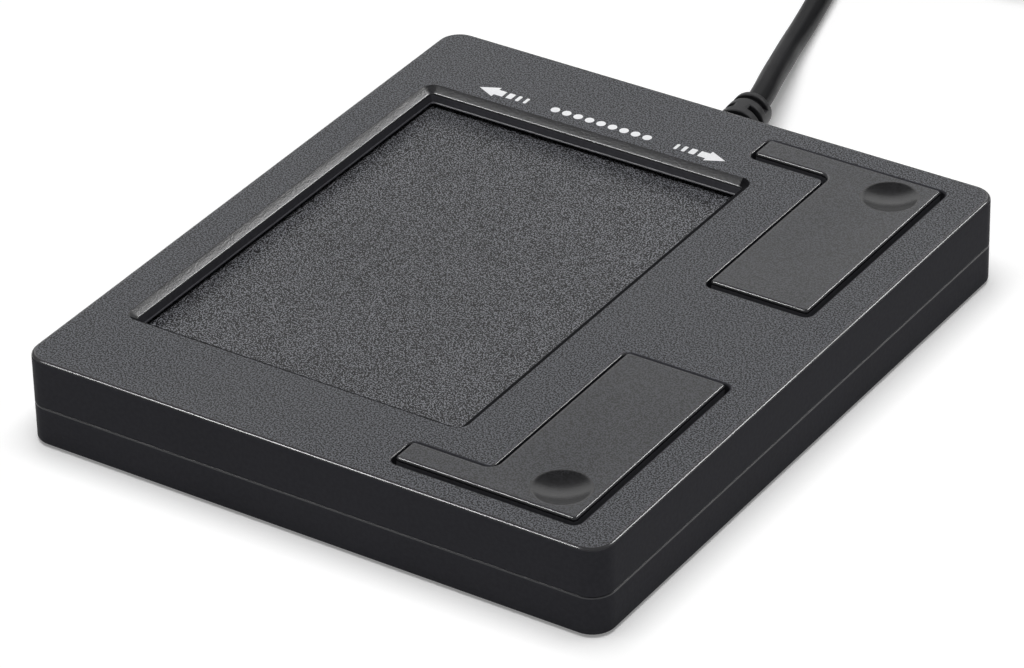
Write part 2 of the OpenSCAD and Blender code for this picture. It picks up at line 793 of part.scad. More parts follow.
module switch_dome() {
    color("#d0b060")
    difference() {
        intersection() {
            translate([0, 0, z_case_floor]) cylinder(h = dome_h + 1, r = dome_r + 1);
            translate([0, 0, z_case_floor + dome_h - dome_ball]) sphere(dome_ball, $fn = 96);
        }
        translate([0, 0, z_case_floor + dome_h - dome_ball]) sphere(dome_ball - dome_t, $fn = 96);
    }
}

module switch_legs() {
    leg_t = 0.2;
    leg_out = 1.4;
    color("#c8cacc")
    for (x = [0, 1], y = [-1, 1])
        mirror([x, 0, 0])
            translate([switch_w / 2, y * switch_w * 3 / 8 - 0.35, z_board]) {
                cube([leg_out, 0.7, leg_t]);
                cube([leg_t, 0.7, 0.8]);
            }
}

module front_switch_case() { under_dimple(-1) switch_case(); }
module back_switch_case() { under_dimple(1) switch_case(); }
module front_switch_cover() { under_dimple(-1) switch_cover(); }
module back_switch_cover() { under_dimple(1) switch_cover(); }
module front_switch_plunger() { under_dimple(-1) switch_plunger(); }
module back_switch_plunger() { under_dimple(1) switch_plunger(); }
module front_switch_dome() { under_dimple(-1) switch_dome(); }
module back_switch_dome() { under_dimple(1) switch_dome(); }
module front_switch_legs() { under_dimple(-1) switch_legs(); }
module back_switch_legs() { under_dimple(1) switch_legs(); }

// Moulded strain relief: an inner flange, a neck through the wall, a collar, and a slotted taper outside
module strain_relief() {
    taper = boot_l - boot_start;
    color("#222326")
    difference() {
        union() {
            rod_y(in_d - fit - flange_l, in_d - fit, 0, z_part, flange_d / 2);
            rod_y(in_d - fit - eps, boot_y + eps, 0, z_part, neck_d / 2);
            rod_y(boot_y, boot_y + collar_l, 0, z_part, boot_root_d / 2 + collar_step);
            translate([0, boot_y, z_part])
                rotate([-90, 0, boot_turn])
                    difference() {
                        translate([0, 0, boot_start])
                            cylinder(h = taper, r1 = boot_root_d / 2, r2 = boot_end_d / 2);
                        for (i = [0 : slot_count - 1])
                            translate([0, 0, boot_l - boot_lip - slot_w / 2 - i * slot_pitch])
                                rotate([0, 0, i % 2 * 90])
                                    difference() {
                                        cube([2 * boot_root_d, 2 * boot_root_d, slot_w], center = true);
                                        cylinder(h = 2 * slot_w, r = boot_core_r, center = true);
                                        cube([3 * boot_root_d, 2 * slot_web, 2 * slot_w], center = true);
                                    }
                    }
        }
        rod_y(in_d - fit - flange_l - 1, boot_y + bore_step, 0, z_part, boot_bore / 2 + 0.2);
        translate([0, boot_y, z_part])
            rotate([-90, 0, boot_turn])
                translate([0, 0, -2 * bore_step]) cylinder(h = boot_l + 1, r = boot_bore / 2);
    }
}

module cable_run() { color("#2a2a2c") tube(run_route, cable_d, 8); }

module cable_tail() { color("#2a2a2c") tube(tail_route, cable_d, 8); }

// A point of the coil after a number of turns: each layer spirals in or out, then climbs half a turn
function coil_point(turns) =
    let (layer = min(floor(turns / stage_turns), coil_layers - 1),
        into = turns - layer * stage_turns,
        inward = layer % 2 == 0,
        way = min(into / layer_turns, 1),
        r = inward ? coil_out_r - way * (coil_out_r - coil_in_r) : coil_in_r + way * (coil_out_r - coil_in_r),
        climb = max(into - layer_turns, 0) / climb_turns,
        a = coil_start - 360 * turns)
    coil_at + [r * cos(a), r * sin(a), (layer + climb) * coil_pitch];

// The coil's ends run straight on for one cable diameter
function coil_route() =
    let (steps = round(coil_turns * loop_rings))
    concat([coil_first], [for (i = [0 : steps]) coil_point(i * coil_turns / steps)], [coil_last]);

// Least distance between points of the coil that lie more than three quarters of a turn apart
function least_gap(p) =
    min([for (i = [0 : len(p) - 1])
        for (j = [i + round(loop_rings * 3 / 4) : 1 : len(p) - 1]) norm(p[i] - p[j])]) - cable_d;

module cable_coil() {
    route = coil_route();
    echo(str("Least gap between the turns of the coil: ", least_gap(route), " mm"));
    color("#2a2a2c") tube(route, cable_d, 6);
}

// A flat strap round the bundle of turns, with its end pressed down on top
module cable_tie() {
    room = fit / 2;
    x0 = coil_at.x + sqrt(pow(coil_in_r - cable_d / 2, 2) - pow(tie_w / 2, 2)) - 4 * room;
    x1 = coil_at.x + coil_out_r + cable_d / 2 + 4 * room;
    z0 = coil_at.z - cable_d / 2 - room;
    z1 = coil_at.z + (coil_layers - 1) * coil_pitch + cable_d / 2 + 2 * room;
    color("#151515")
    translate([0, coil_at.y, 0])
        rotate([90, 0, 0])
            linear_extrude(tie_w, center = true) {
                difference() {
                    translate([x0 - tie_t, z0 - tie_t]) square([x1 - x0 + 2 * tie_t, z1 - z0 + 2 * tie_t]);
                    translate([x0, z0]) square([x1 - x0, z1 - z0]);
                }
                translate([x0 + 2, z1]) square([(x1 - x0) / 2, 2 * tie_t]);
            }
}

module plug_body() {
    color("#232427")
    difference() {
        union() {
            block_at(grip_x, plug_y - grip_w / 2, shell_x, plug_y + grip_w / 2, 0, grip_h, 2.5, 1, 1);
            translate([plug_x, plug_y, plug_z])
                rotate([0, 90, 0]) cylinder(h = grip_tail + 1, r1 = 2.3, r2 = 3.3);
        }
        box(shell_x - shell_in, plug_y - shell_w / 2 - fit / 2, plug_z - shell_h / 2 - fit / 2,
            shell_x + 1, plug_y + shell_w / 2 + fit / 2, plug_z + shell_h / 2 + fit / 2);
    }
}

module plug_shell() {
    tip = shell_x + shell_l;
    color("#c6c8cb")
    difference() {
        box(shell_x - shell_in + fit / 2, plug_y - shell_w / 2, plug_z - shell_h / 2,
            tip, plug_y + shell_w / 2, plug_z + shell_h / 2);
        box(shell_x - shell_in - 1, plug_y - shell_w / 2 + shell_t, plug_z - shell_h / 2 + shell_t,
            tip + 1, plug_y + shell_w / 2 - shell_t, plug_z + shell_h / 2 - shell_t);
        for (side = [-1, 1])
            translate([tip - 5.2, plug_y + side * 3, plug_z]) cube([2, 2.5, 2 * shell_h], center = true);
    }
}

module plug_tongue() {
    low = plug_z - shell_h / 2 + shell_t;
    half = shell_w / 2 - shell_t - fit;
    color("#e9e9e6")
    box(shell_x + shell_l - tongue_l - 0.4, plug_y - half, low, shell_x + shell_l - 0.4, plug_y + half,
        low + tongue_t);
}

module plug_contacts() {
    low = plug_z - shell_h / 2 + shell_t + tongue_t;
    tip = shell_x + shell_l - 1.4;
    color("#cfa94b")
    for (i = [-1.5 : 1 : 1.5])
        box(tip - contact_l, plug_y + i * 2.2 - contact_w / 2, low, tip, plug_y + i * 2.2 + contact_w / 2,
            low + contact_t);
}

// A pan-head screw, point up, with a cross recess in its head
module case_screw() {
    difference() {
        union() {
            translate([0, 0, -head_h]) cylinder(h = head_h, r = head_r);
            cylinder(h = z_part - z_base - screw_seat + screw_bite, r = screw_r);
        }
        for (turn = [0, 90])
            rotate(turn) translate([0, 0, -head_h]) cube([1.4 * head_r, 0.5, 1.2], center = true);
    }
}

module case_screws() {
    color("#8c8f94")
    for (at = case_screws_at) translate([at.x, at.y, z_base + screw_seat]) case_screw();
}

module board_screws() {
    color("#9a9da2")
    for (at = board_screws_at)
        translate([at.x, at.y, z_board])
            difference() {
                union() {
                    cylinder(h = board_head_h, r = board_head_r);
                    translate([0, 0, -board_t - board_screw_bite])
                        cylinder(h = board_t + board_screw_bite + eps, r = board_screw_r);
                }
                for (turn = [0, 90])
                    rotate(turn) translate([0, 0, board_head_h]) cube([1.4 * board_head_r, 0.4, 1], center = true);
            }
}

module rubber_feet() {
    color("#1c1c1d")
    for (at = feet_at) translate([at.x, at.y, 0]) cylinder(h = foot_t, r = foot_d / 2);
}

top_shell();
bottom_shell();
touch_film();
film_adhesive();
sensor_tape_frame();
sensor_board();
touch_chip();
sensor_capacitors();
sensor_ribbon_socket();
ribbon_cable();
main_board();
main_ribbon_socket();
usb_chip();
crystal();
chip_capacitors();
chip_resistors();
wire_header();
wire_plug();
wire_red();
wire_white();
wire_green();
wire_black();
front_button();
back_button();
front_switch_case();
back_switch_case();
front_switch_cover();
back_switch_cover();
front_switch_plunger();
back_switch_plunger();
front_switch_dome();
back_switch_dome();
front_switch_legs();
back_switch_legs();
strain_relief();
cable_run();
cable_coil();
cable_tail();
cable_tie();
plug_body();
plug_shell();
plug_tongue();
plug_contacts();
case_screws();
board_screws();
rubber_feet();
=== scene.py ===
from math import cos, pi, radians, sin

import bmesh
import bpy
import numpy as np
from mathutils import Matrix, Vector
from mathutils.geometry import tessellate_polygon


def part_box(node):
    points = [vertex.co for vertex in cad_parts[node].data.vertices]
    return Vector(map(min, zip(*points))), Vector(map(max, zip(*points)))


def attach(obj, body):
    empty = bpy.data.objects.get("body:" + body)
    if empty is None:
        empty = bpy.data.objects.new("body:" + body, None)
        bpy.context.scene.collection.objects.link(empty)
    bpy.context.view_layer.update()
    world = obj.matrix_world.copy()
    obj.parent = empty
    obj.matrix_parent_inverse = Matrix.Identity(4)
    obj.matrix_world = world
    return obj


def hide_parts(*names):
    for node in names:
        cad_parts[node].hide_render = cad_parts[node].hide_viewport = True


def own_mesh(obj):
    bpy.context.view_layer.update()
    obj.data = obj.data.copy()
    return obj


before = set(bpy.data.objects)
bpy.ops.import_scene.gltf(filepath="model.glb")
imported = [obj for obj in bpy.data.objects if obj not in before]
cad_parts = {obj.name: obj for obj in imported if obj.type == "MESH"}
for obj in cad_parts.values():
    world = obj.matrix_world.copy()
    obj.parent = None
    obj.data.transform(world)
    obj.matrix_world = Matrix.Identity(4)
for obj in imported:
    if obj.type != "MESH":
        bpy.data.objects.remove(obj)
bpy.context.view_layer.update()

# Camera: a long lens looking down at the pad from beyond its front right corner.
# The picture is level but for a small roll, and has no shift. Lengths in this file
# are millimetres until a mesh, a lamp or the camera is put into the frame, in metres.
MM = 0.001
view_turn = radians(33.586)
view_tilt = radians(32.096)
view_roll = radians(-1.333)
view_distance = 620.17
view_centre = (-1.15, 2.076)
view_height = 0.49
sensor_width = 36.0
focal_length = 192.841
near_clip = 10.0

back = np.array([sin(view_turn) * cos(view_tilt), -cos(view_turn) * cos(view_tilt), sin(view_tilt)])
level = np.array([cos(view_turn), sin(view_turn), 0.0])
rise = np.cross(back, level)
right = cos(view_roll) * level + sin(view_roll) * rise
up = cos(view_roll) * rise - sin(view_roll) * level
eye = view_distance * back + view_centre[0] * right + view_centre[1] * up + (0, 0, view_height)

camera = bpy.data.objects.new("camera", bpy.data.cameras.new("camera"))
camera.data.sensor_fit = "HORIZONTAL"
camera.data.sensor_width = sensor_width
camera.data.lens = focal_length
camera.data.clip_start = near_clip * MM
camera_pose = np.vstack([np.column_stack([right, up, back, eye * MM]), (0, 0, 0, 1)])
camera.matrix_world = Matrix(camera_pose.tolist())
bpy.context.scene.collection.objects.link(camera)
bpy.context.scene.camera = camera

# Cable: a round four-core lead in a soft PVC jacket, drawn through a die, so its faint
# lines run along it. It leaves the back wall, drops to the desk and ends in a coil of
# fifteen turns in four layers, wound inward and outward by turns, and a tail to the plug.
cable_d = 3.0
cable_sides = 16
cable_step = 1.2
coil_at = np.array([2.0, 128.0, 2.0])
coil_start = radians(195)
coil_layers = 4
layer_turns = 3.375
climb_turns = 0.5
coil_pitch = 3.85
coil_mid_r = 17.8
coil_rings = 90
stage_turns = layer_turns + climb_turns
coil_turns = coil_layers * stage_turns - climb_turns
coil_out_r = coil_mid_r + coil_pitch * layer_turns / 2
coil_in_r = coil_mid_r - coil_pitch * layer_turns / 2


def coil_line(turns):
    """Points of the coil after each number of turns: the radius runs evenly out to in on one layer and
    back on the next, and the height climbs one pitch in the half turn between two layers."""
    layer = np.minimum(turns // stage_turns, coil_layers - 1)
    into = turns - layer * stage_turns
    way = np.minimum(into / layer_turns, 1.0)
    way = np.where(layer % 2 == 0, way, 1 - way)
    radius = coil_out_r - way * (coil_out_r - coil_in_r)
    climb = np.maximum(into - layer_turns, 0) / climb_turns
    angle = coil_start - 2 * pi * turns
    return coil_at + np.stack(
        [radius * np.cos(angle), radius * np.sin(angle), (layer + climb) * coil_pitch], -1)


def smooth_line(points, step):
    """A curve through given points: a cubic over each stretch, whose slope at a point is the mean of the
    two stretches that meet there, each weighted by the length of the other."""
    points = np.asarray(points, float)
    gaps = np.linalg.norm(np.diff(points, axis=0), axis=1)
    slopes = np.diff(points, axis=0) / gaps[:, None]
    inner = slopes[:-1] * gaps[1:, None] + slopes[1:] * gaps[:-1, None]
    slopes_at = np.vstack([slopes[:1], inner / (gaps[:-1] + gaps[1:])[:, None], slopes[-1:]])
    stops = np.concatenate([[0], np.cumsum(gaps)])
    along = np.linspace(0, stops[-1], int(stops[-1] / step) + 2)
    i = np.clip(np.searchsorted(stops, along, side="right") - 1, 0, len(gaps) - 1)
    h = gaps[i][:, None]
    t = ((along - stops[i]) / gaps[i])[:, None]
    return ((1 + 2 * t) * (1 - t) ** 2 * points[i] + t * (1 - t) ** 2 * h * slopes_at[i]
            + t * t * (3 - 2 * t) * points[i + 1] + t * t * (t - 1) * h * slopes_at[i + 1])


def skin(rings, finish=0, capped=False):
    """A shell over a grid of rings, as points, blocks of faces and the number of its finish: four-sided
    faces between neighbouring rings, closed round each ring, with a flat face at either end where capped."""
    rings = np.asarray(rings)
    count, size = rings.shape[:2]
    i = np.arange(count * size).reshape(count, size)
    j = np.roll(i, -1, axis=1)
    faces = [np.stack([i[:-1], j[:-1], j[1:], i[1:]], -1).reshape(-1, 4)]
    if capped:
        faces += [i[:1, ::-1], i[-1:]]
    return rings.reshape(-1, 3), faces, finish


def around(count):
    """Angles of points spaced evenly round a circle."""
    return np.linspace(0, 2 * pi, count, endpoint=False)


def tube(path, radius, count):
    """Rings of one radius round a path, each square to the path's heading there."""
    ahead = np.gradient(path, axis=0)
    ahead /= np.linalg.norm(ahead, axis=1, keepdims=True)
    side = np.cross(ahead, (0, 0, 1))
    side /= np.linalg.norm(side, axis=1, keepdims=True)
    over = np.cross(side, ahead)
    a = around(count)[:, None]
    return path[:, None] + radius * (np.cos(a) * side[:, None] + np.sin(a) * over[:, None])


def put_piece(name, shells, finishes, replaced=(), body="casing", sharp=38.0):
    """Joins shells into one mesh at the origin and sets it on its body. A shell is points in millimetres,
    blocks of faces, and the number of its finish. Doubles are merged, faces turned outward, and edges
    sharper than the given angle shade sharp."""
    points, faces, marks, count = [], [], [], 0
    for shell_points, blocks, mark in shells:
        points.append(shell_points)
        for block in blocks:
            faces += (np.asarray(block) + count).tolist()
            marks += [mark] * len(block)
        count += len(shell_points)
    mesh = bpy.data.meshes.new(name)
    mesh.from_pydata((np.vstack(points) * MM).tolist(), [], faces)
    for finish in finishes:
        mesh.materials.append(finish)
    mesh.polygons.foreach_set("material_index", marks)
    work = bmesh.new()
    work.from_mesh(mesh)
    bmesh.ops.remove_doubles(work, verts=work.verts, dist=1e-7)
    bmesh.ops.dissolve_degenerate(work, edges=work.edges, dist=1e-8)
    bmesh.ops.recalc_face_normals(work, faces=work.faces)
    work.to_mesh(mesh)
    work.free()
    mesh.shade_smooth()
    mesh.set_sharp_from_angle(angle=radians(sharp))
    piece = bpy.data.objects.new(name, mesh)
    bpy.context.scene.collection.objects.link(piece)
    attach(piece, body)
    if replaced:
        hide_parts(*replaced)
    return piece


def srgb(r, g, b):
    """A colour in the usual 0 to 255 steps, as the linear values that shaders take."""
    c = np.array([r, g, b]) / 255
    return (*np.where(c <= 0.04045, c / 12.92, ((c + 0.055) / 1.055) ** 2.4).tolist(), 1.0)


def set_inputs(node, values):
    """Sets inputs of a shader node by their names."""
    for name, value in values.items():
        node.inputs[name].default_value = value
    return node


def start_finish(name, roughness, specular, metallic=0.0):
    """A new material with its shader's even values set, and the place that its patterns read."""
    material = bpy.data.materials.new(name)
    material.use_nodes = True
    tree = material.node_tree
    shader = set_inputs(tree.nodes["Principled BSDF"], {
        "Roughness": roughness, "Specular IOR Level": specular, "Metallic": metallic})
    place = tree.nodes.new("ShaderNodeTexCoord").outputs["Object"]
    return material, tree, shader, place


def noise(tree, place, size, detail=2.0, stretch=(1, 1, 1)):
    """Smooth noise whose blotches are about one size across, drawn out along an axis by stretch."""
    mapping = set_inputs(tree.nodes.new("ShaderNodeMapping"), {"Scale": [1 / s for s in stretch]})
    texture = set_inputs(tree.nodes.new("ShaderNodeTexNoise"), {"Scale": 1 / (size * MM), "Detail": detail})
    tree.links.new(place, mapping.inputs["Vector"])
    tree.links.new(mapping.outputs["Vector"], texture.inputs["Vector"])
    return texture.outputs["Fac"]


def shades(tree, factor, stops):
    """Colours or greys picked along a ramp by a factor."""
    ramp = tree.nodes.new("ShaderNodeValToRGB")
    while len(ramp.color_ramp.elements) < len(stops):
        ramp.color_ramp.elements.new(0.5)
    for element, (at, colour) in zip(ramp.color_ramp.elements, stops):
        element.position = at
        element.color = colour
    tree.links.new(factor, ramp.inputs["Fac"])
    return ramp.outputs["Color"]


def spread_value(tree, factor, low, high):
    """A number that follows a factor from low to high."""
    reach = set_inputs(tree.nodes.new("ShaderNodeMapRange"), {
        "From Min": 0.3, "From Max": 0.7, "To Min": low, "To Max": high})
    tree.links.new(factor, reach.inputs["Value"])
    return reach.outputs["Result"]


def paint(tree, shader, tone, gloss):
    """Gives a shader its colour and its roughness."""
    tree.links.new(tone, shader.inputs["Base Color"])
    tree.links.new(gloss, shader.inputs["Roughness"])


def bump(tree, shader, height, depth):
    """Relief of one depth on the shader, from a height between 0 and 1."""
    node = set_inputs(tree.nodes.new("ShaderNodeBump"), {"Strength": 1.0, "Distance": depth * MM})
    tree.links.new(height, node.inputs["Height"])
    tree.links.new(node.outputs["Normal"], shader.inputs["Normal"])


coil_ahead = np.array([sin(coil_start), -cos(coil_start), 0.0])
coil_first = coil_line(np.array([0.0]))[0] - cable_d * coil_ahead
coil_last = coil_line(np.array([coil_turns]))[0] + cable_d * coil_ahead
run_route = [
    (0, 37.6, 5.2), (0, 43, 5.2), (-1.7, 53.8, 5.2), (-2.8, 58, 4.95), (-4.5, 63, 4.3), (-6.4, 68.5, 3.3),
    (-8.3, 74, 2.3), (-10.1, 80.2, 1.65), (-11.9, 87, 1.55), (-14, 94.6, 1.55), (-16.3, 103, 1.65),
    (-18.3, 110.2, 1.9), coil_first - cable_d * coil_ahead, coil_first]
tail_route = [
    coil_last, coil_last + cable_d * coil_ahead, (-23.9, 131.8, 13.3), (-24.2, 136.8, 12.4),
    (-23, 142.8, 10.7), (-20.2, 148.6, 8.5), (-15.6, 153.6, 6.2), (-10, 157.4, 4.7), (-4.6, 159.5, 4.1),
    (0, 160, 4), (4, 160, 4)]
coil_stops = np.linspace(0, coil_turns, int(coil_turns * coil_rings) + 1)
cable_path = np.vstack([
    smooth_line(run_route, cable_step), coil_line(coil_stops), smooth_line(tail_route, cable_step)])
cable_along = np.concatenate([[0], np.cumsum(np.linalg.norm(np.diff(cable_path, axis=0), axis=1))])

jacket, tree, shader, place = start_finish("cable_jacket_pvc", 0.42, 0.1)
straight = tree.nodes.new("ShaderNodeAttribute")
straight.attribute_name = "straight"
draw_lines = noise(tree, straight.outputs["Vector"], 0.35, 2.0, (1, 1, 40))
mottle = noise(tree, straight.outputs["Vector"], 9.0, 3.0)
jacket_tone = shades(tree, mottle, [(0.3, srgb(17, 17, 19)), (0.7, srgb(26, 26, 28))])
paint(tree, shader, jacket_tone, spread_value(tree, mottle, 0.36, 0.48))
bump(tree, shader, draw_lines, 0.03)

cable_rings = tube(cable_path, cable_d / 2, cable_sides)
cable = put_piece("cable", [skin(cable_rings, capped=True)], [jacket],
                  ("cable_run", "cable_coil", "cable_tail"))
cable_turn = around(cable_sides)
drawn = np.empty(cable_rings.shape)
drawn[..., 0] = cable_d / 2 * np.cos(cable_turn)
drawn[..., 1] = cable_d / 2 * np.sin(cable_turn)
drawn[..., 2] = cable_along[:, None]
as_drawn = cable.data.attributes.new("straight", "FLOAT_VECTOR", "POINT")
as_drawn.data.foreach_set("vector", (drawn * MM).ravel())

# Strain relief: one soft moulding round the cable, held in the back wall by a neck
# between a collar and an inner flange. Outside, it tapers and has three rows of slots,
# the middle row turned a quarter, with webs left between them, so that it bends.
wall_in, wall_out = 41.0, 43.0
boot_z = 5.2
boot_y = 43.05
boot_turn = radians(9)
boot_l = 10.9
boot_root_r, boot_end_r = 3.2, 2.425
boot_start = 0.6
collar_r, collar_l = 3.45, 1.3
neck_r, flange_r, flange_l, flange_gap = 2.45, 3.0, 1.5, 0.1
boot_bore_r, boot_core_r, boot_web = 1.6, 2.0, 0.9
slot_w, slot_pitch, slot_count, boot_lip = 0.95, 2.3, 3, 0.95
boot_edge, collar_back_edge, collar_edge, slot_guard, collar_guard = 0.18, 0.1, 0.3, 0.1, 0.05
bore_start, bore_middle, bore_flare, flange_flare = 0.3, 4.9, 0.1, 0.2
boot_sides = 72

boot_a = around(boot_sides)
boot_along = np.array([-sin(boot_turn), cos(boot_turn), 0.0])
boot_across = np.array([cos(boot_turn), sin(boot_turn), 0.0])
boot_pivot = np.array([0.0, boot_y, boot_z])
boot_spokes = boot_across * np.cos(boot_a)[:, None] + (0, 0, 1) * np.sin(boot_a)[:, None]


def upright_ring(y, r):
    """A ring of the part in the wall, square to the wall."""
    return np.stack([r * np.cos(boot_a), np.full(boot_sides, y), boot_z + r * np.sin(boot_a)], -1)


def taper_ring(s, drop, quarter_turn=0.0):
    """A ring of the taper at a distance from the wall: the cone's radius less a drop, but never inside the
    floor of a slot, which is the core, or the flat web beside it. A quarter turn moves the webs from the
    sides to the top and bottom."""
    cone = boot_root_r + (boot_end_r - boot_root_r) * (s - boot_start) / (boot_l - boot_start)
    web = boot_web / np.maximum(np.abs(np.sin(boot_a + quarter_turn)), 1e-3)
    floor = np.minimum(np.maximum(boot_core_r, web), cone)
    r = np.maximum(cone - drop, floor)[:, None]
    return boot_pivot + np.reshape(s, (-1, 1)) * boot_along + r * boot_spokes


def bore_ring(s, r):
    """A ring of the taper's bore or end face."""
    return boot_pivot + s * boot_along + r * boot_spokes


edge_turn = [(sin(t), cos(t)) for t in np.linspace(0, pi / 2, 4)]
slot_edge = [(boot_edge * s, boot_edge * (1 - c)) for s, c in edge_turn]
slot_deep = boot_root_r
collar_face = (collar_l - boot_root_r * np.cos(boot_a) * sin(boot_turn)) / cos(boot_turn) + collar_guard
flange_out = wall_in - flange_gap
flange_in = flange_out - flange_l
collar_back = boot_y + collar_back_edge
collar_front = boot_y + collar_l - collar_edge
boot_rings = [
    upright_ring(y, r) for y, r in (
        (flange_in, boot_bore_r + flange_flare), (flange_in, flange_r - boot_edge),
        (flange_in + boot_edge, flange_r), (flange_out - boot_edge, flange_r),
        (flange_out, flange_r - boot_edge), (flange_out, neck_r), (boot_y, neck_r),
        (boot_y, collar_r - collar_back_edge))]
boot_rings += [upright_ring(collar_back - collar_back_edge * c, collar_r - collar_back_edge * (1 - s))
               for s, c in edge_turn]
boot_rings += [upright_ring(collar_front + collar_edge * s, collar_r - collar_edge * (1 - c))
               for s, c in edge_turn]
boot_rings += [taper_ring(collar_face, collar_guard), taper_ring(collar_face + slot_guard, 0.0)]
for i in reversed(range(slot_count)):
    slot_end = boot_l - boot_lip - i * slot_pitch
    slot_start = slot_end - slot_w
    slot_turn = i % 2 * pi / 2
    boot_rings += [taper_ring(slot_start - boot_edge - slot_guard, 0)]
    boot_rings += [taper_ring(slot_start - boot_edge + out, drop, slot_turn) for out, drop in slot_edge]
    boot_rings += [taper_ring(s, slot_deep, slot_turn) for s in (slot_start, slot_end)]
    boot_rings += [taper_ring(slot_end + boot_edge - out, drop, slot_turn)
                   for out, drop in reversed(slot_edge)]
    boot_rings += [taper_ring(slot_end + boot_edge + slot_guard, 0)]
boot_rings += [taper_ring(boot_l - boot_edge + out, drop) for out, drop in slot_edge]
boot_rings.append(bore_ring(boot_l, boot_bore_r + bore_flare))
boot_rings += [bore_ring(s, boot_bore_r) for s in (boot_l - bore_flare, bore_middle, bore_start)]
boot_rings.append(boot_rings[0])


def grey(level):
    """A neutral colour of one level, as shaders take it."""
    return (level, level, level, 1)


def times(tree, colour, by):
    """One colour times another."""
    mix = tree.nodes.new("ShaderNodeMix")
    mix.data_type = "RGBA"
    mix.blend_type = "MULTIPLY"
    set_inputs(mix, {"Factor": 1.0})
    tree.links.new(colour, mix.inputs["A"])
    tree.links.new(by, mix.inputs["B"])
    return mix.outputs["Result"]


def moulded(name, tone, roughness, specular, grain, depth, contrast, reach=0.16, patch=14.0, drift=0.1):
    """Moulded plastic or rubber: a fine eroded grain that is both relief and light and dark specks, over
    broad faint patches of tone, with the gloss following the patches. The specks are contrast lighter or
    darker than the colour, and reach is how gently one passes into the other; drift is the patches' part."""
    material, tree, shader, place = start_finish(name, roughness, specular)
    fine = noise(tree, place, grain, 1.0)
    broad = noise(tree, place, patch, 3.0)
    gloss_drift = 0.04
    colour = srgb(*tone)
    dark = [c * (1 - contrast) for c in colour[:3]] + [1]
    light = [c * (1 + contrast) for c in colour[:3]] + [1]
    specks = shades(tree, fine, [(0.5 - reach, dark), (0.5 + reach, light)])
    patches = shades(tree, broad, [(0.3, grey(1 - drift)), (0.7, grey(1 + drift))])
    gloss = spread_value(tree, broad, roughness - gloss_drift, roughness + gloss_drift)
    paint(tree, shader, times(tree, specks, patches), gloss)
    bump(tree, shader, fine, depth)
    return material


boot_rubber = moulded("boot_soft_pvc", (26, 26, 28), 0.5, 0.4, 0.22, 0.012, 0.12)
boot = put_piece("cable_boot", [skin(boot_rings)], [boot_rubber], ("strain_relief",))

# Strap: a narrow band of hook-and-loop tape round the bundle of turns, its free end
# pressed down on its own start on top of the coil.
tie_w, tie_t = 6.0, 0.4
tie_lap, tie_start = 8.4, 2.4
tie_corner, tie_guard = 1.7, 0.5
lap_guard, lap_gap = 0.3, 0.01


def mm_box(node):
    """Lowest and highest corner of a node of the frame, in millimetres."""
    return [np.array(corner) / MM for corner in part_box(node)]


tie_low, tie_high = mm_box("cable_tie")
tie_x0, tie_x1 = tie_low[0] + tie_t / 2, tie_high[0] - tie_t / 2
tie_z0, tie_z1 = tie_low[2] + tie_t / 2, tie_high[2] - tie_t * 3 / 2
tie_y = (tie_low[1] + tie_high[1]) / 2


def circle(x, y, r, a):
    """Points of a circle about a middle, at given angles."""
    return np.stack([x + r * np.cos(a), y + r * np.sin(a)], -1)


def corner_line(x, z, r, start):
    """A quarter turn of the strap round a corner of the bundle, anticlockwise as seen from the front."""
    return circle(x, z, r, start + np.linspace(0, pi / 2, 9))


tie_r = tie_corner + tie_t / 2
tie_end = tie_x0 + tie_start
turn_x0, turn_x1, turn_z0, turn_z1 = tie_x0 + tie_r, tie_x1 - tie_r, tie_z0 + tie_r, tie_z1 - tie_r
tie_line = np.vstack([
    np.linspace((tie_end + tie_lap, tie_z1), (turn_x0 + tie_guard, tie_z1), 8),
    corner_line(turn_x0, turn_z1, tie_r, pi / 2),
    np.linspace((tie_x0, turn_z1 - tie_guard), (tie_x0, turn_z0 + tie_guard), 10),
    corner_line(turn_x0, turn_z0, tie_r, pi),
    np.linspace((turn_x0 + tie_guard, tie_z0), (turn_x1 - tie_guard, tie_z0), 10),
    corner_line(turn_x1, turn_z0, tie_r, 3 * pi / 2),
    np.linspace((tie_x1, turn_z0 + tie_guard), (tie_x1, turn_z1 - tie_guard), 10),
    corner_line(turn_x1, turn_z1, tie_r, 0)])
lap_x = np.linspace(turn_x1 - lap_guard, tie_end, 22)
lap_rise = np.clip((turn_x1 - lap_x) / (turn_x1 - tie_end - tie_lap), 0, 1)
lap_z = tie_z1 + (tie_t + lap_gap) * lap_rise ** 2 * (3 - 2 * lap_rise)
tie_line = np.vstack([tie_line, np.stack([lap_x, lap_z], -1)])


def strap_rings(line, width, thickness, y):
    """The strap's oblong section, its long edges rounded, carried along a line in the upright plane."""
    ahead = np.gradient(line, axis=0)
    ahead /= np.linalg.norm(ahead, axis=1, keepdims=True)
    out = np.stack([ahead[:, 1], -ahead[:, 0]], -1)
    a = np.linspace(-pi / 2, pi / 2, 6)
    u = np.concatenate([width / 2 - thickness / 2 + thickness / 2 * np.cos(a),
                        -width / 2 + thickness / 2 - thickness / 2 * np.cos(a)])
    v = thickness / 2 * np.concatenate([np.sin(a), -np.sin(a)])
    flat = line[:, None] + v[:, None] * out[:, None]
    return np.stack([flat[..., 0], np.broadcast_to(y + u, flat.shape[:2]), flat[..., 1]], -1)


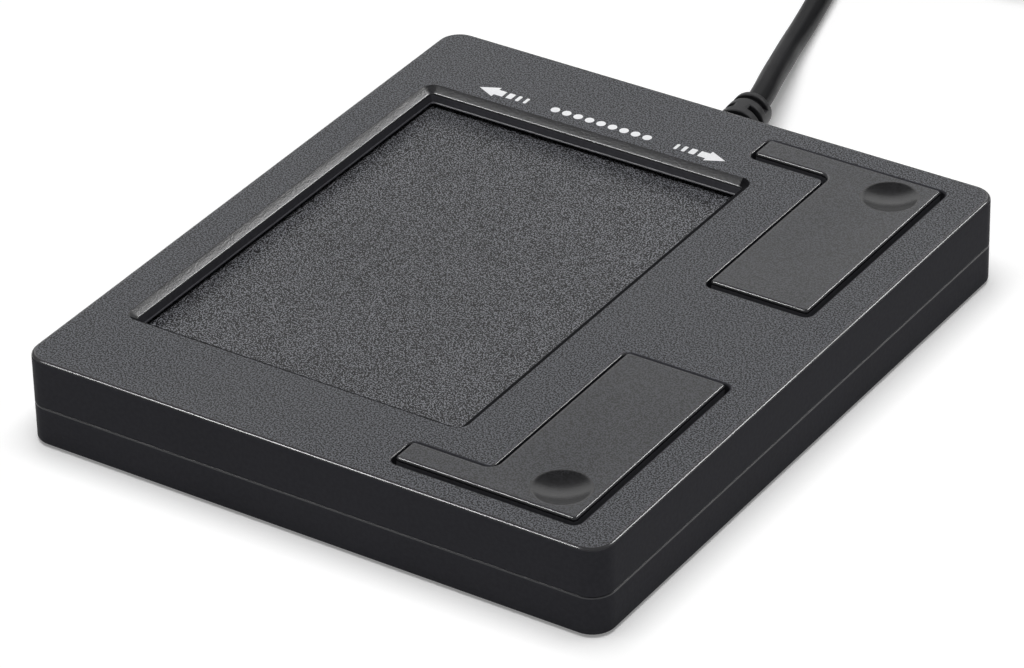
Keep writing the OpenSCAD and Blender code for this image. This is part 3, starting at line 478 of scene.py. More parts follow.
tape, tree, shader, place = start_finish("strap_loop_tape", 0.85, 0.2)
loops = noise(tree, place, 0.3, 3.0, (1, 2.5, 1))
tape_tone = shades(tree, loops, [(0.3, srgb(14, 14, 15)), (0.7, srgb(44, 44, 46))])
paint(tree, shader, tape_tone, spread_value(tree, loops, 0.78, 0.92))
set_inputs(shader, {"Sheen Weight": 0.25})
bump(tree, shader, loops, 0.12)
strap_shell = skin(strap_rings(tie_line, tie_w, tie_t, tie_y), capped=True)
strap = put_piece("coil_strap", [strap_shell], [tape], ("cable_tie",))

# Plug grip: a hard PVC overmould on the end of the cable, with shallow finger grooves
# across both broad faces and a tail of four steps. A point of a step's profile is given
# by the end that it is near, its way from there, and the drop from the step's radius.
plug_y, plug_z = 160.0, 4.0
tail_x, grip_x, shell_x = 4.0, 13.0, 34.0
grip_w, grip_h = 15.6, 8.0
grip_corner, grip_edge, grip_shoulder, grip_guard = 2.5, 1.0, 1.6, 0.4
tail_r0, tail_r1, tail_steps, tail_in = 2.3, 3.3, 4, 0.8
tail_profile = [(0, 0.0, 0.3), (0, 0.12, 0.06), (0, 0.4, 0.0), (1, -0.62, 0.0), (1, -0.5, 0.1),
                (1, -0.5, 0.55), (1, 0.0, 0.55)]
shell_w, shell_h, shell_in = 12.0, 4.5, 7.0
mouth_gap, mouth_corner, mouth_flare = 0.05, 0.6, 0.2
groove_at, groove_pitch, groove_count, groove_depth = 17.5, 2.6, 5, 0.38
groove_half, groove_fade = 4.6, 0.8
section_guard = 0.8
round_steps = 48


def outline(corners, radii, grow=0.0, arc=8, guard=0.3):
    """A right-angled outline, anticlockwise, its sides moved outward by grow and its corners turned in
    quarter arcs of one radius, or of one each. The radius of an outward corner grows with the move and that
    of an inward corner shrinks. A point on the straight before and after each arc, a guard away from it,
    keeps the shading of the flat sides clean."""
    at = np.asarray(corners, float)
    ahead = np.roll(at, -1, axis=0) - at
    ahead /= np.linalg.norm(ahead, axis=1, keepdims=True)
    before = np.roll(ahead, 1, axis=0)
    swing = np.sign(before[:, 0] * ahead[:, 1] - before[:, 1] * ahead[:, 0])
    r = np.maximum(np.asarray(radii) + grow * swing, 0.1)[:, None]
    away = np.stack([before[:, 1] + ahead[:, 1], -before[:, 0] - ahead[:, 0]], -1)
    tip = at + grow * away
    t = np.linspace(0, pi / 2, arc + 1)[:, None]
    turned = (tip + r * (ahead - before))[:, None] + r[:, None] * (
        before[:, None] * np.sin(t) - ahead[:, None] * np.cos(t))
    first = tip - (r + guard) * before
    last = tip + (r + guard) * ahead
    return np.concatenate([first[:, None], turned, last[:, None]], axis=1).reshape(-1, 2)


def oblong(x0, y0, x1, y1):
    """Corners of an oblong, anticlockwise."""
    return [(x0, y0), (x1, y0), (x1, y1), (x0, y1)]


def quarter(start, end, level_first, steps=6):
    """Stations of a quarter ellipse between two stations, level or upright at its start."""
    t = np.linspace(0, pi / 2, steps + 1)[:, None]
    across, down = (np.sin(t), 1 - np.cos(t)) if level_first else (1 - np.cos(t), np.sin(t))
    start, end = np.asarray(start), np.asarray(end)
    return start + (end - start) * np.hstack([across, down])


def round_loop(x, y, r):
    """A whole circle of points."""
    return circle(x, y, r, around(round_steps))


def standing(loop, x):
    """A flat loop stood up square to X at one place."""
    return np.column_stack([np.full(len(loop), x), loop])


grip_section = oblong(plug_y - grip_w / 2, plug_z - grip_h / 2, plug_y + grip_w / 2, plug_z + grip_h / 2)
grip_straight = np.linspace(grip_x + grip_shoulder + grip_guard, shell_x - grip_edge - grip_guard, 66)
grip_stations = np.vstack([
    [(-grip_shoulder - 1, grip_x)], quarter((-grip_shoulder, grip_x), (0, grip_x + grip_shoulder), True),
    np.stack([0 * grip_straight, grip_straight], -1),
    quarter((0, shell_x - grip_edge), (-grip_edge, shell_x), False)])


def grip_ring(grow, x):
    """The grip's section at one place along it, with the finger grooves pressed into its broad faces: the
    height is drawn in at each groove by the square of a cosine, fading out towards the narrow sides."""
    ring = outline(grip_section, grip_corner, grow, 8, section_guard)
    along = (x - groove_at) / groove_pitch
    grooved = -0.25 < along < groove_count - 0.75
    pressed = groove_depth * max(0.0, cos(2 * pi * along)) ** 2 if grooved else 0.0
    side = np.clip((groove_half + groove_fade - np.abs(ring[:, 0] - plug_y)) / groove_fade, 0, 1)
    z = ring[:, 1] - np.sign(ring[:, 1] - plug_z) * pressed * side
    return standing(np.column_stack([ring[:, 0], z]), x)


def divided(ring, count):
    """A closed outline with each stretch between two of its points divided into count."""
    t = np.linspace(0, 1, count, endpoint=False)[:, None]
    return (ring[:, None] * (1 - t) + np.roll(ring, -1, axis=0)[:, None] * t).reshape(-1, ring.shape[1])


mouth_w, mouth_h = shell_w / 2 + mouth_gap, shell_h / 2 + mouth_gap
grip_mouth = outline(oblong(plug_y - mouth_w, plug_z - mouth_h, plug_y + mouth_w, plug_z + mouth_h),
                     mouth_corner, 0, 8, section_guard)


def mouth_ring(x, grow=0.0):
    """The opening round the metal shell at one place along the grip."""
    ring = (grip_mouth - (plug_y, plug_z)) * (1 + grow / (shell_h / 2)) + (plug_y, plug_z)
    return standing(ring, x)


grip_rings = [grip_ring(g, x) for g, x in grip_stations]
grip_rings += [mouth_ring(shell_x, mouth_flare), mouth_ring(shell_x - mouth_flare),
               mouth_ring(shell_x - shell_in)]
step_l = (grip_x - tail_x) / tail_steps
tail_stations = [(tail_x, cable_d / 2 + 0.02)]
for n in range(tail_steps):
    step_r = tail_r0 + (tail_r1 - tail_r0) * (n + 0.5) / tail_steps
    tail_stations += [(tail_x + (n + end) * step_l + along, step_r - drop)
                      for end, along, drop in tail_profile]
tail_stations.append((grip_x + tail_in, tail_r1))
tail_rings = [standing(round_loop(plug_y, plug_z, r), x) for x, r in tail_stations]
grip_pvc = moulded("plug_grip_pvc", (34, 34, 37), 0.48, 0.4, 0.3, 0.012, 0.14)
grip_shells = [skin([divided(ring, 3) for ring in grip_rings], capped=True), skin(tail_rings, capped=True)]
grip = put_piece("plug_grip", grip_shells, [grip_pvc], ("plug_body",))

# Plug shell: steel strip, nickel plated, folded into a box with rounded corners. Two
# windows above and two below take the spring tabs of a socket.
shell_t, shell_tip, shell_out = 0.3, 46.0, 0.3
shell_corner, tip_l, tip_inset = 0.65, 0.3, 0.12
tab_x, tab_l, tab_w, tab_off = 40.8, 2.0, 2.5, 3.0
tab_y = [-tab_off - tab_w / 2, -tab_off + tab_w / 2, tab_off - tab_w / 2, tab_off + tab_w / 2]
tab_stretch, arc_points = 2, 7


def shell_loop(inset):
    """The shell's section, drawn in by an inset, with points where its windows start and end."""
    half_w, half_h, r = shell_w / 2 - inset, shell_h / 2 - inset, shell_corner - inset
    arc = circle(half_w - r, half_h - r, r, np.linspace(0, pi / 2, arc_points))
    top = np.column_stack([tab_y[::-1], np.full(len(tab_y), half_h)])
    upper = np.vstack([arc, top, (arc * (-1, 1))[::-1]])
    return np.vstack([upper, (upper * (-1, -1))]) + (plug_y, plug_z)


shell_stops = [shell_x - shell_in + mouth_gap, shell_x + shell_out, tab_x - tab_l / 2, tab_x + tab_l / 2,
               shell_tip - tip_l, shell_tip]
shell_inset = [0, 0, 0, 0, 0, tip_inset]


def shell_side(extra):
    """Rings of one face of the sheet, outer or inner, at the stops along the plug."""
    loops = [shell_loop(extra + inset * (1 if extra == 0 else -1)) for inset in shell_inset]
    return np.stack([standing(loop, x) for loop, x in zip(loops, shell_stops)])


outer_points, (cells,), _ = skin(shell_side(0.0))
shell_points = np.vstack([outer_points, shell_side(shell_t).reshape(-1, 3)])
cells = cells.reshape(len(shell_stops) - 1, -1, 4)
inner_start = len(outer_points)
open_cells = np.zeros(cells.shape[:2], bool)
for start in (arc_points, arc_points + 2):
    open_cells[tab_stretch, [start, cells.shape[1] // 2 + start]] = True
sheet = cells[~open_cells]
edges = [cells[open_cells][:, [k, (k + 1) % 4]] for k in range(4)]
edges += [cells[0][:, [0, 1]], cells[-1][:, [3, 2]]]
shell_faces = [sheet, sheet + inner_start]
shell_faces += [np.hstack([edge, edge[:, ::-1] + inner_start]) for edge in edges]


def drawn_metal(name, dark, light, roughness, streak):
    """Rolled or drawn metal: fine streaks along one axis in tone, gloss and relief."""
    material, tree, shader, place = start_finish(name, roughness, 0.5, 1.0)
    gloss_drift = 0.06
    lines = noise(tree, place, 0.16, 2.0, streak)
    gloss = spread_value(tree, lines, roughness - gloss_drift, roughness + gloss_drift)
    paint(tree, shader, shades(tree, lines, [(0.3, srgb(*dark)), (0.7, srgb(*light))]), gloss)
    bump(tree, shader, lines, 0.003)
    return material


nickel = drawn_metal("plug_nickel_plate", (178, 178, 180), (214, 214, 216), 0.24, (60, 1, 1))
metal_shell = put_piece("plug_metal_shell", [(shell_points, shell_faces, 0)], [nickel],
                        ("plug_shell",), sharp=30.0)


def dress(nodes, material):
    """Gives nodes of the frame a finish in place of their plain one."""
    for node in nodes:
        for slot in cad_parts[node].material_slots:
            slot.material = material


tongue_pbt = moulded("plug_tongue_pbt", (214, 213, 207), 0.5, 0.4, 0.3, 0.006, 0.04)
gold = drawn_metal("contact_gold_flash", (198, 158, 76), (228, 190, 108), 0.28, (50, 1, 1))
dress(["plug_tongue"], tongue_pbt)
dress(["plug_contacts"], gold)

# Bottom shell: injection moulded ABS, with a shallow seam groove at its top edge, a
# locating lip, screw bosses and posts for the boards. The underside has wells for the
# screw heads and round beds for the feet.
case_low, case_high = mm_box("top_shell")
z_base, z_part, z_top = mm_box("bottom_shell")[0][2], case_low[2], case_high[2]
z_floor = 2.0
wall_t, case_corner = 2.0, 2.8
base_edge, seam_h, seam_t, seam_edge = 0.3, 0.06, 0.3, 0.08
lip_in, lip_h = 1.1, 1.0
notch_r = 2.5
screw_places = [(-20.0, 37.3), (-20.0, -37.3), (27.1, 0.0)]
well_r, well_top, screw_bore, boss_r = 2.2, 2.5, 1.2, 2.7
foot_places = [(x, y) for x in (-31.3, 31.3) for y in (-36.8, 36.8)]
foot_bed_r, foot_bed_top = 4.1, 0.8
board_posts = [(18.0, 16.08), (18.0, -16.08), (27.7, 34.9), (27.7, -34.9)]
board_post_r, board_post_top = 2.0, 3.2
sensor_posts = [(x, y) for x in (-25.22, 4.85) for y in (-20.2, 20.2)]
sensor_post_r, sensor_post_top = 1.75, 7.2
plate_guard, edge_guard, base_guard, root = 0.3, 0.15, 0.2, 0.2


def case_loop(grow):
    """The casing's outline grown by an amount, with points round the cable's way through the back wall."""
    ring = outline(oblong(*case_low[:2], *case_high[:2]), case_corner, grow, 10)
    per_corner = len(ring) // 4
    x = notch_r * np.cos(np.linspace(0, pi, 25))
    notch = np.stack([x, np.full(25, case_high[1] + grow)], -1)
    return np.insert(ring, 3 * per_corner, notch, axis=0)


def notch_height(ring):
    """Half the height of the cable's way at each point of a ring, zero away from it."""
    inside = (ring[:, 1] > 0) & (np.abs(ring[:, 0]) <= notch_r)
    return np.where(inside, np.sqrt(np.maximum(notch_r ** 2 - ring[:, 0] ** 2, 0)), 0)


def raised(loop, z):
    """A flat loop set at one height."""
    return np.column_stack([loop, np.full(len(loop), z)])


def stacked(loop, stations):
    """Rings of an outline at stations of growth and height."""
    return np.stack([raised(loop(g), z) for g, z in stations])


def lathe(x, y, profile):
    """A profile of radius and height turned about an upright axis."""
    return np.stack([raised(round_loop(x, y, r), z) for r, z in profile])


def post(x, y, r, start, end):
    """A closed round post between two heights."""
    return skin(lathe(x, y, [(0, start), (r, start), (r, end), (0, end)]))


def plate(z, outer, holes=(), finish=0):
    """A flat face at one height, inside an outline and outside its holes, in triangles."""
    loops = [outer, *holes]
    triangles = tessellate_polygon([[Vector((*p, 0.0)) for p in loop.tolist()] for loop in loops])
    return raised(np.vstack(loops), z), [np.array(triangles)], finish


z_seam = z_part - seam_h
base_stations = np.vstack([
    [(-base_edge - plate_guard, z_base)], quarter((-base_edge, z_base), (0, z_base + base_edge), True, 8),
    [(0, z_base + base_edge + base_guard), (0, z_seam - seam_edge - edge_guard)],
    quarter((0, z_seam - seam_edge), (-seam_edge, z_seam), False, 4),
    [(-seam_t, z_seam), (-seam_t, z_part), (-lip_in, z_part), (-lip_in, z_part + lip_h),
     (-wall_t, z_part + lip_h), (-wall_t, z_floor)]])
seam_first, seam_last = 11, 16
base_rings = stacked(case_loop, base_stations)
base_notch = np.array([notch_height(ring) for ring in base_rings])
base_rings[..., 2] = np.minimum(base_rings[..., 2], z_part - base_notch + (lip_h + 1) * (base_notch == 0))
base_shells = [skin(base_rings[:seam_first + 1]), skin(base_rings[seam_first:seam_last + 1], 1),
               skin(base_rings[seam_last:])]
bottom_holes = [round_loop(x, y, well_r) for x, y in screw_places]
bottom_holes += [round_loop(x, y, foot_bed_r) for x, y in foot_places]
base_shells.append(plate(z_base, case_loop(-base_edge - plate_guard), bottom_holes))
base_shells.append(plate(z_floor, case_loop(-wall_t), [round_loop(x, y, boss_r) for x, y in screw_places]))
well = [(well_r, z_base), (well_r, well_top), (screw_bore, well_top), (screw_bore, z_part),
        (boss_r, z_part), (boss_r, z_floor)]
bed = [(foot_bed_r, z_base), (foot_bed_r, foot_bed_top), (foot_bed_r / 2, foot_bed_top), (0, foot_bed_top)]
base_shells += [skin(lathe(x, y, well)) for x, y in screw_places]
base_shells += [skin(lathe(x, y, bed)) for x, y in foot_places]
base_shells += [post(x, y, board_post_r, z_floor - root, board_post_top) for x, y in board_posts]
base_shells += [post(x, y, sensor_post_r, z_floor - root, sensor_post_top) for x, y in sensor_posts]
case_side = moulded("case_side_abs", (55, 55, 59), 0.4, 0.01, 0.5, 0.01, 0.05, patch=20.0, drift=0.06)
case_seam = moulded("case_seam_abs", (44, 44, 48), 0.32, 0.4, 0.5, 0.01, 0.05, patch=20.0, drift=0.06)
case_edge = moulded("case_edge_abs", (36, 36, 39), 0.24, 0.7, 0.5, 0.006, 0.05, patch=20.0, drift=0.06)
put_piece("bottom_case", base_shells, [case_side, case_seam], ("bottom_shell",))

# Touch sensor: a textured polyester film over its board, glued on and hung under the
# roof by a frame of foam tape, so only the film and the tape's edge show in the window.
film, tree, shader, place = start_finish("touch_film_polyester", 0.36, 0.16)
film_grain = noise(tree, place, 0.17, 0.0)
film_patch = noise(tree, place, 16.0, 3.0)
film_specks = shades(tree, film_grain, [(0.53, srgb(6, 6, 7)), (0.59, srgb(124, 125, 130))])
film_tone = shades(tree, film_patch, [(0.3, grey(0.93)), (0.7, grey(1.07))])
paint(tree, shader, times(tree, film_specks, film_tone), spread_value(tree, film_grain, 0.28, 0.42))
bump(tree, shader, film_grain, 0.02)
dress(["touch_film"], film)
dress(["sensor_tape_frame"], moulded("tape_closed_foam", (22, 22, 23), 0.85, 0.2, 0.25, 0.05, 0.3))
dress(["film_adhesive"], moulded("film_glue_acrylic", (200, 198, 186), 0.3, 0.5, 1.2, 0.004, 0.05))

# Boards: glass-fibre laminate under green solder mask, the weave showing as raised lighter
# lines, with chips, sockets, a ribbon, wires and switches soldered or plugged on them. The
# bronze domes in the switches, which flatten as their plungers come down, are drawn at rest.
both = ("front", "back")
dome_r, dome_h, dome_t, dome_flat = 2.2, 0.5, 0.1, 0.28

laminate, tree, shader, place = start_finish("board_solder_mask", 0.32, 0.5)
weave = set_inputs(tree.nodes.new("ShaderNodeTexBrick"), {
    "Scale": 260.0, "Mortar Size": 0.03, "Color1": srgb(24, 92, 56), "Color2": srgb(20, 82, 50),
    "Mortar": srgb(44, 116, 72)})
tree.links.new(place, weave.inputs["Vector"])
mask_tone = noise(tree, place, 6.0, 3.0)
mask_patch = shades(tree, mask_tone, [(0.3, grey(0.85)), (0.7, grey(1.0))])
mask_gloss = spread_value(tree, mask_tone, 0.26, 0.38)
paint(tree, shader, times(tree, weave.outputs["Color"], mask_patch), mask_gloss)
bump(tree, shader, weave.outputs["Fac"], 0.03)
dress(["sensor_board", "main_board"], laminate)

switch_nodes = [side + part for side in both for part in ("_switch_case", "_switch_plunger")]
for nodes, name, tone, roughness, grain, depth, contrast in (
        (["touch_chip", "usb_chip", "chip_resistors"], "chip_mould_epoxy",
         (30, 31, 33), 0.55, 0.18, 0.01, 0.18),
        (["sensor_capacitors", "chip_capacitors"], "capacitor_ceramic",
         (158, 124, 84), 0.45, 0.2, 0.008, 0.12),
        (["sensor_ribbon_socket", "main_ribbon_socket", "wire_header", "wire_plug"], "socket_ivory_nylon",
         (222, 216, 198), 0.45, 0.3, 0.008, 0.06),
        (switch_nodes, "switch_black_nylon", (26, 26, 28), 0.45, 0.25, 0.006, 0.1)):
    dress(nodes, moulded(name, tone, roughness, 0.4, grain, depth, contrast))
for colour, tone in (("red", (168, 34, 40)), ("white", (222, 222, 216)), ("green", (42, 128, 70)),
                     ("black", (28, 28, 29))):
    dress(["wire_" + colour], moulded("wire_pvc_" + colour, tone, 0.42, 0.45, 0.4, 0.006, 0.06))
steel = drawn_metal("plain_bright_steel", (164, 165, 168), (204, 205, 208), 0.3, (20, 1, 1))
dress(["crystal"] + [side + part for side in both for part in ("_switch_cover", "_switch_legs")], steel)

ribbon, tree, shader, place = start_finish("ribbon_flat_cores", 0.4, 0.5)
wave = set_inputs(tree.nodes.new("ShaderNodeTexWave"), {"Scale": 310.0})
wave.bands_direction = "Y"
tree.links.new(place, wave.inputs["Vector"])
cores = wave.outputs["Fac"]
core_tone = shades(tree, cores, [(0.2, srgb(150, 154, 160)), (0.8, srgb(206, 209, 213))])
paint(tree, shader, core_tone, spread_value(tree, cores, 0.34, 0.46))
bump(tree, shader, cores, 0.08)
dress(["ribbon_cable"], ribbon)

bronze = drawn_metal("dome_spring_bronze", (176, 132, 76), (204, 164, 104), 0.3, (1, 20, 1))
dome_ball = (dome_r ** 2 + dome_h ** 2) / (2 * dome_h)
outer_turn = np.linspace(0, np.arcsin(dome_r / dome_ball), 9)
inner_turn = np.linspace(np.arccos((dome_ball - dome_h) / (dome_ball - dome_t)), 0, 9)
dome_profile = np.vstack([
    dome_ball * np.stack([np.sin(outer_turn), np.cos(outer_turn)], -1),
    (dome_ball - dome_t) * np.stack([np.sin(inner_turn), np.cos(inner_turn)], -1)])
for side in both:
    dome_low, dome_high = mm_box(side + "_switch_dome")
    dome_x, dome_y, _ = np.mean(mm_box(side + "_switch_case"), axis=0)
    dome_rings = lathe(dome_x, dome_y, dome_profile + (0, dome_high[2] - dome_ball))
    dome = put_piece(side + "_click_dome", [skin(dome_rings)], [bronze],
                     (side + "_switch_dome",))
    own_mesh(dome)

# Top shell: injection moulded ABS, grained on top and smooth at its sides. The window's
# lip slopes to an upright wall. The slopes are polished at the back and the left, and take a
# matt copy of their finish in front and at the right, a painted shade. The upright wall is
# painted lighter than the casing, a painted light, and takes a darker matt copy at the left,
# a painted shade. The rims of the button openings are polished at their left sides, a
# painted highlight, and dull elsewhere, a painted shade. Screw bosses and snap-in hinge
# ears stand under the roof.
z_roof = 9.2
top_edge, upper_edge, top_guard = 0.45, 0.05, 0.25
rebate_in, rebate_h = 1.0, 1.1
window_x0, window_x1, window_half, window_corner = -32.62, 12.25, 30.6, 1.5
slope_run, slope_drop, rim_r, lip_r = 1.0, 0.68, 0.16, 0.28
window_guard, lip_guard = 0.35, 0.35
ledge = [(0, 0.22), (0.07, 0.17), (0.1, 0.11), (0.1, 0.04), (0.06, 0)]
button_x0, button_x1, button_y0, button_y1 = 19.55, 32.07, 8.65, 39.15
leg_x0, leg_y0 = 9.37, 35.55
button_gap, opening_gap, button_corner, elbow_r, opening_edge = 0.45, 0.54, 0.45, 1.35, 0.22
button_guard = 0.2
hinge_y, hinge_z = 10.25, 8.25
ear_t, ear_half, ear_drop, ear_bore, ear_mouth = 1.55, 1.7, 1.3, 0.8, 1.2
pilot_r, pilot_top = 1.1, 8.7
edge_last, lip_first, lip_last = 8, 6, 10
window_facing, opening_facing = 0.85, 0.7
on_top, on_side, on_edge, on_slope, on_slope_shade, on_wall, on_left_wall_shade = range(7)


def window_loop(grow):
    """The window's rim, grown by an amount."""
    return outline(oblong(window_x0, -window_half, window_x1, window_half), window_corner, grow, 10)


def button_loop(side, gap=0.0):
    """The L of the back button, or of the front one, which is its mirror image, set out by a gap, as a
    function of growth."""
    corners = [(button_x0, button_y0), (button_x1, button_y0), (button_x1, button_y1), (leg_x0, button_y1),
               (leg_x0, leg_y0), (button_x0, leg_y0)]
    radii = [button_corner] * 5 + [elbow_r]
    if side < 0:
        corners = [(x, -y) for x, y in reversed(corners)]
        radii = radii[::-1]
    return lambda grow: outline(corners, radii, gap + grow, 8, button_guard)


def parted(rings, test, finish, other):
    """A skin in two finishes: the first is for the faces that pass a test of their middles and of the
    directions in plan, of length one, in which they run along their rings."""
    points, (cells,), _ = skin(rings)
    way = points[cells[:, 1], :2] - points[cells[:, 0], :2]
    way /= np.linalg.norm(way, axis=1, keepdims=True)
    passed = test(points[cells].mean(axis=1), way)
    return [(points, [cells[passed]], finish), (points, [cells[~passed]], other)]


def bar(loop, x0, x1, finish=0):
    """A closed bar along X with one section."""
    return skin([standing(loop, x0), standing(loop, x1)], finish, capped=True)


def ear(x0, side):
    """A hinge ear: an upright tab with a round bore that is open below, carried across its thickness."""
    reach = np.arcsin(ear_mouth / 2 / ear_bore)
    a = np.linspace(-pi / 2 - reach, -pi / 2 + reach - 2 * pi, 25)
    bore = circle(0, hinge_z, ear_bore, a)
    low, high = hinge_z - ear_drop, z_roof + root
    tab = np.vstack([[(-ear_half, high), (-ear_half, low), (-ear_mouth / 2, low)], bore,
                     [(ear_mouth / 2, low), (ear_half, low), (ear_half, high)]])
    return bar(tab + (side * hinge_y, 0), x0, x0 + ear_t, on_side)


case_stations = np.vstack([
    [(-top_edge - plate_guard, z_top)], quarter((-top_edge, z_top), (0, z_top - top_edge), True, 10),
    [(0, z_top - top_edge - top_guard), (0, z_part + upper_edge + edge_guard)],
    quarter((0, z_part + upper_edge), (-upper_edge, z_part), False, 3),
    [(-rebate_in, z_part), (-rebate_in, z_part + rebate_h), (-wall_t, z_part + rebate_h),
     (-wall_t, z_roof)]])
case_rings = stacked(case_loop, case_stations)
case_notch = np.array([notch_height(ring) for ring in case_rings])
case_rings[..., 2] = np.maximum(case_rings[..., 2], z_part + case_notch)
case_shells = [skin(case_rings[:2], on_top), skin(case_rings[1:edge_last + 1], on_edge),
               skin(case_rings[edge_last:], on_side)]

slope_tilt = np.arctan2(slope_drop, slope_run)
rim_turn = np.linspace(0, slope_tilt, 5)
lip_turn = np.linspace(slope_tilt, pi / 2, 5)
rim_tangent = rim_r * np.tan(slope_tilt / 2)
lip_tangent = lip_r * np.tan((pi / 2 - slope_tilt) / 2)
rim_start = np.array([rim_tangent, z_top])
lip_start = np.array([-slope_run + lip_tangent * cos(slope_tilt),
                      z_top - slope_drop + lip_tangent * sin(slope_tilt)])
rim_round = rim_start + rim_r * np.stack([-np.sin(rim_turn), np.cos(rim_turn) - 1], -1)
lip_round = lip_start + lip_r * np.stack(
    [np.sin(slope_tilt) - np.sin(lip_turn), np.cos(lip_turn) - np.cos(slope_tilt)], -1)
window_stations = np.vstack([
    [(window_guard, z_top)], rim_round, lip_round, [(-slope_run, z_top - slope_drop - lip_guard)],
    [(-slope_run - out, z_roof + height) for out, height in ledge]])
window_rings = stacked(window_loop, window_stations)
case_shells.append(skin(window_rings[:2], on_top))
# Painted shade: the slope in front, at the right and round the right corners takes a matt copy of the slope
# finish, so that it reads dark where it turns from the light.
case_shells += parted(
    window_rings[1:lip_first + 1],
    lambda middle, way: (middle[:, 0] <= window_x1 - window_corner) & (way[:, 0] <= window_facing),
    on_slope, on_slope_shade)
case_shells.append(skin(window_rings[lip_first:lip_last + 1], on_edge))
# Painted shade: the wall and its ledge at the left take a darker matt copy of the wall finish. Elsewhere the
# wall takes a copy painted lighter than the casing, a painted light.
case_shells += parted(
    window_rings[lip_last:], lambda middle, way: way[:, 1] < -window_facing, on_left_wall_shade, on_wall)

opening_stations = np.vstack([
    [(opening_edge + edge_guard, z_top)], quarter((opening_edge, z_top), (0, z_top - opening_edge), True),
    [(0, z_top - opening_edge - edge_guard), (0, z_roof)]])
openings = [button_loop(side, opening_gap) for side in (1, -1)]
for opening in openings:
    opening_rings = stacked(opening, opening_stations)
    case_shells.append(skin(opening_rings[:2], on_top))
    # Painted highlight and shade: each rim is polished along its left sides, which face the back right lamp,
    # and dull elsewhere, so that only those sides catch the light.
    case_shells += parted(
        opening_rings[1:], lambda middle, way: way[:, 1] < -opening_facing, on_edge, on_side)
top_holes = [window_loop(window_guard)] + [opening(opening_edge + edge_guard) for opening in openings]
case_shells.append(plate(z_top, case_loop(-top_edge - plate_guard), top_holes, on_top))
roof_holes = [window_loop(window_stations[-1][0])] + [opening(0.0) for opening in openings]
case_shells.append(plate(z_roof, case_loop(-wall_t), roof_holes, on_side))
boss = [(0, z_roof + root), (boss_r, z_roof + root), (boss_r, z_part), (pilot_r, z_part),
        (pilot_r, pilot_top), (0, pilot_top)]
case_shells += [skin(lathe(x, y, boss), on_side) for x, y in screw_places]
case_shells += [ear(x0, side) for side in (1, -1)
                for x0 in (button_x0 - button_gap - ear_t, button_x1 + button_gap)]
case_top = moulded("case_top_grained_abs", (64, 65, 69), 0.36, 0.22, 0.19, 0.012, 0.98, 0.03, 22.0, 0.07)
case_slope = moulded("case_slope_abs", (22, 22, 25), 0.32, 0.56, 0.22, 0.026, 0.7, 0.1, 22.0, 0.06)
# Painted shade: a matt copy of the slope finish for the slopes that turn from the light.
case_slope_painted_shade = moulded("case_slope_painted_shade_abs", (22, 22, 24), 0.6, 0.02, 0.3, 0.01, 0.3, patch=22.0, drift=0.06)
# Painted light: the window wall and the cap skirts are painted lighter than the casing's own colour, to
# stand for the light on them. At the left the wall takes a darker matt copy, a painted shade.
case_wall_painted_light = moulded("case_wall_painted_light_abs", (100, 100, 105), 0.34, 0.4, 0.5, 0.006, 0.08, patch=22.0, drift=0.06)
case_left_wall_shade = moulded("case_left_wall_shade_abs", (86, 86, 91), 0.5, 0.02, 0.5, 0.006, 0.08, patch=22.0, drift=0.06)
case_finishes = [case_top, case_side, case_edge, case_slope, case_slope_painted_shade, case_wall_painted_light, case_left_wall_shade]
put_piece("top_case", case_shells, case_finishes, ("top_shell",), sharp=30.0)

# Print: two arrows with broken tails and a row of dots behind the window, a thin film
# of white pad-printing ink on the top face.
ink_t, ink_root = 0.02, 0.01
print_y, print_x = 32.75, -9.87
dot_d, dot_pitch, dot_count = 1.13, 1.585, 9
arrow_tip, arrow_head, arrow_stem = 16.96, 14.6, 13.46
head_half, stem_half = 1.125, 0.6
tail_blocks = [(12.2, 13.0), (11.22, 11.7), (10.2, 10.6)]
mark_corner, mark_guard = 0.14, 0.04


def slab(loop, z0, z1):
    """A closed slab with one outline."""
    return skin([raised(loop, z0), raised(loop, z1)], capped=True)


arrow = np.array([(arrow_tip, 0), (arrow_head, head_half), (arrow_head, stem_half), (arrow_stem, stem_half),
                  (arrow_stem, -stem_half), (arrow_head, -stem_half), (arrow_head, -head_half)])
marks = [arrow] + [outline(oblong(x0, -stem_half, x1, stem_half), mark_corner, 0, 4, mark_guard)
                   for x0, x1 in tail_blocks]
marks = [mark * (way, 1) + (print_x, print_y) for mark in marks for way in (1, -1)]
marks += [round_loop(print_x + (n - (dot_count - 1) / 2) * dot_pitch, print_y, dot_d / 2)
          for n in range(dot_count)]
ink_shells = [slab(mark, z_top - ink_root, z_top + ink_t) for mark in marks]
white_ink = moulded("print_white_ink", (242, 242, 244), 0.55, 0.4, 0.2, 0.01, 0.04)
put_piece("white_print", ink_shells, [white_ink])

# Buttons: two L-shaped ABS caps, mirror images, each with a skirt, a round finger
# dimple over its switch, a post that presses the switch, hinge stubs that snap into
# the ears, and catches that stop the cap under the roof.
z_button, z_plate, z_skirt, z_catch = 11.65, 10.05, 8.3, 9.1
cap_edge, cap_guard, skirt_t, cap_root = 0.35, 0.12, 1.0, 0.3
dimple_x, dimple_y, dimple_r, dimple_depth = 27.7, 34.9, 3.25, 0.6
dimple_reach, dimple_blend = 3.44, 0.04
lug_t, lug_half, lug_in, stub_r, stub_l, stub_in = 1.2, 1.3, 0.05, 0.75, 1.7, 0.1
catch_reach, catch_l, catch_y, catch_short = 1.35, 8.0, 28.9, 0.5
post_r, post_low = 1.5, 8.75
skirt_first = 10
on_cap, on_rounding, on_dimple, on_skirt = range(4)


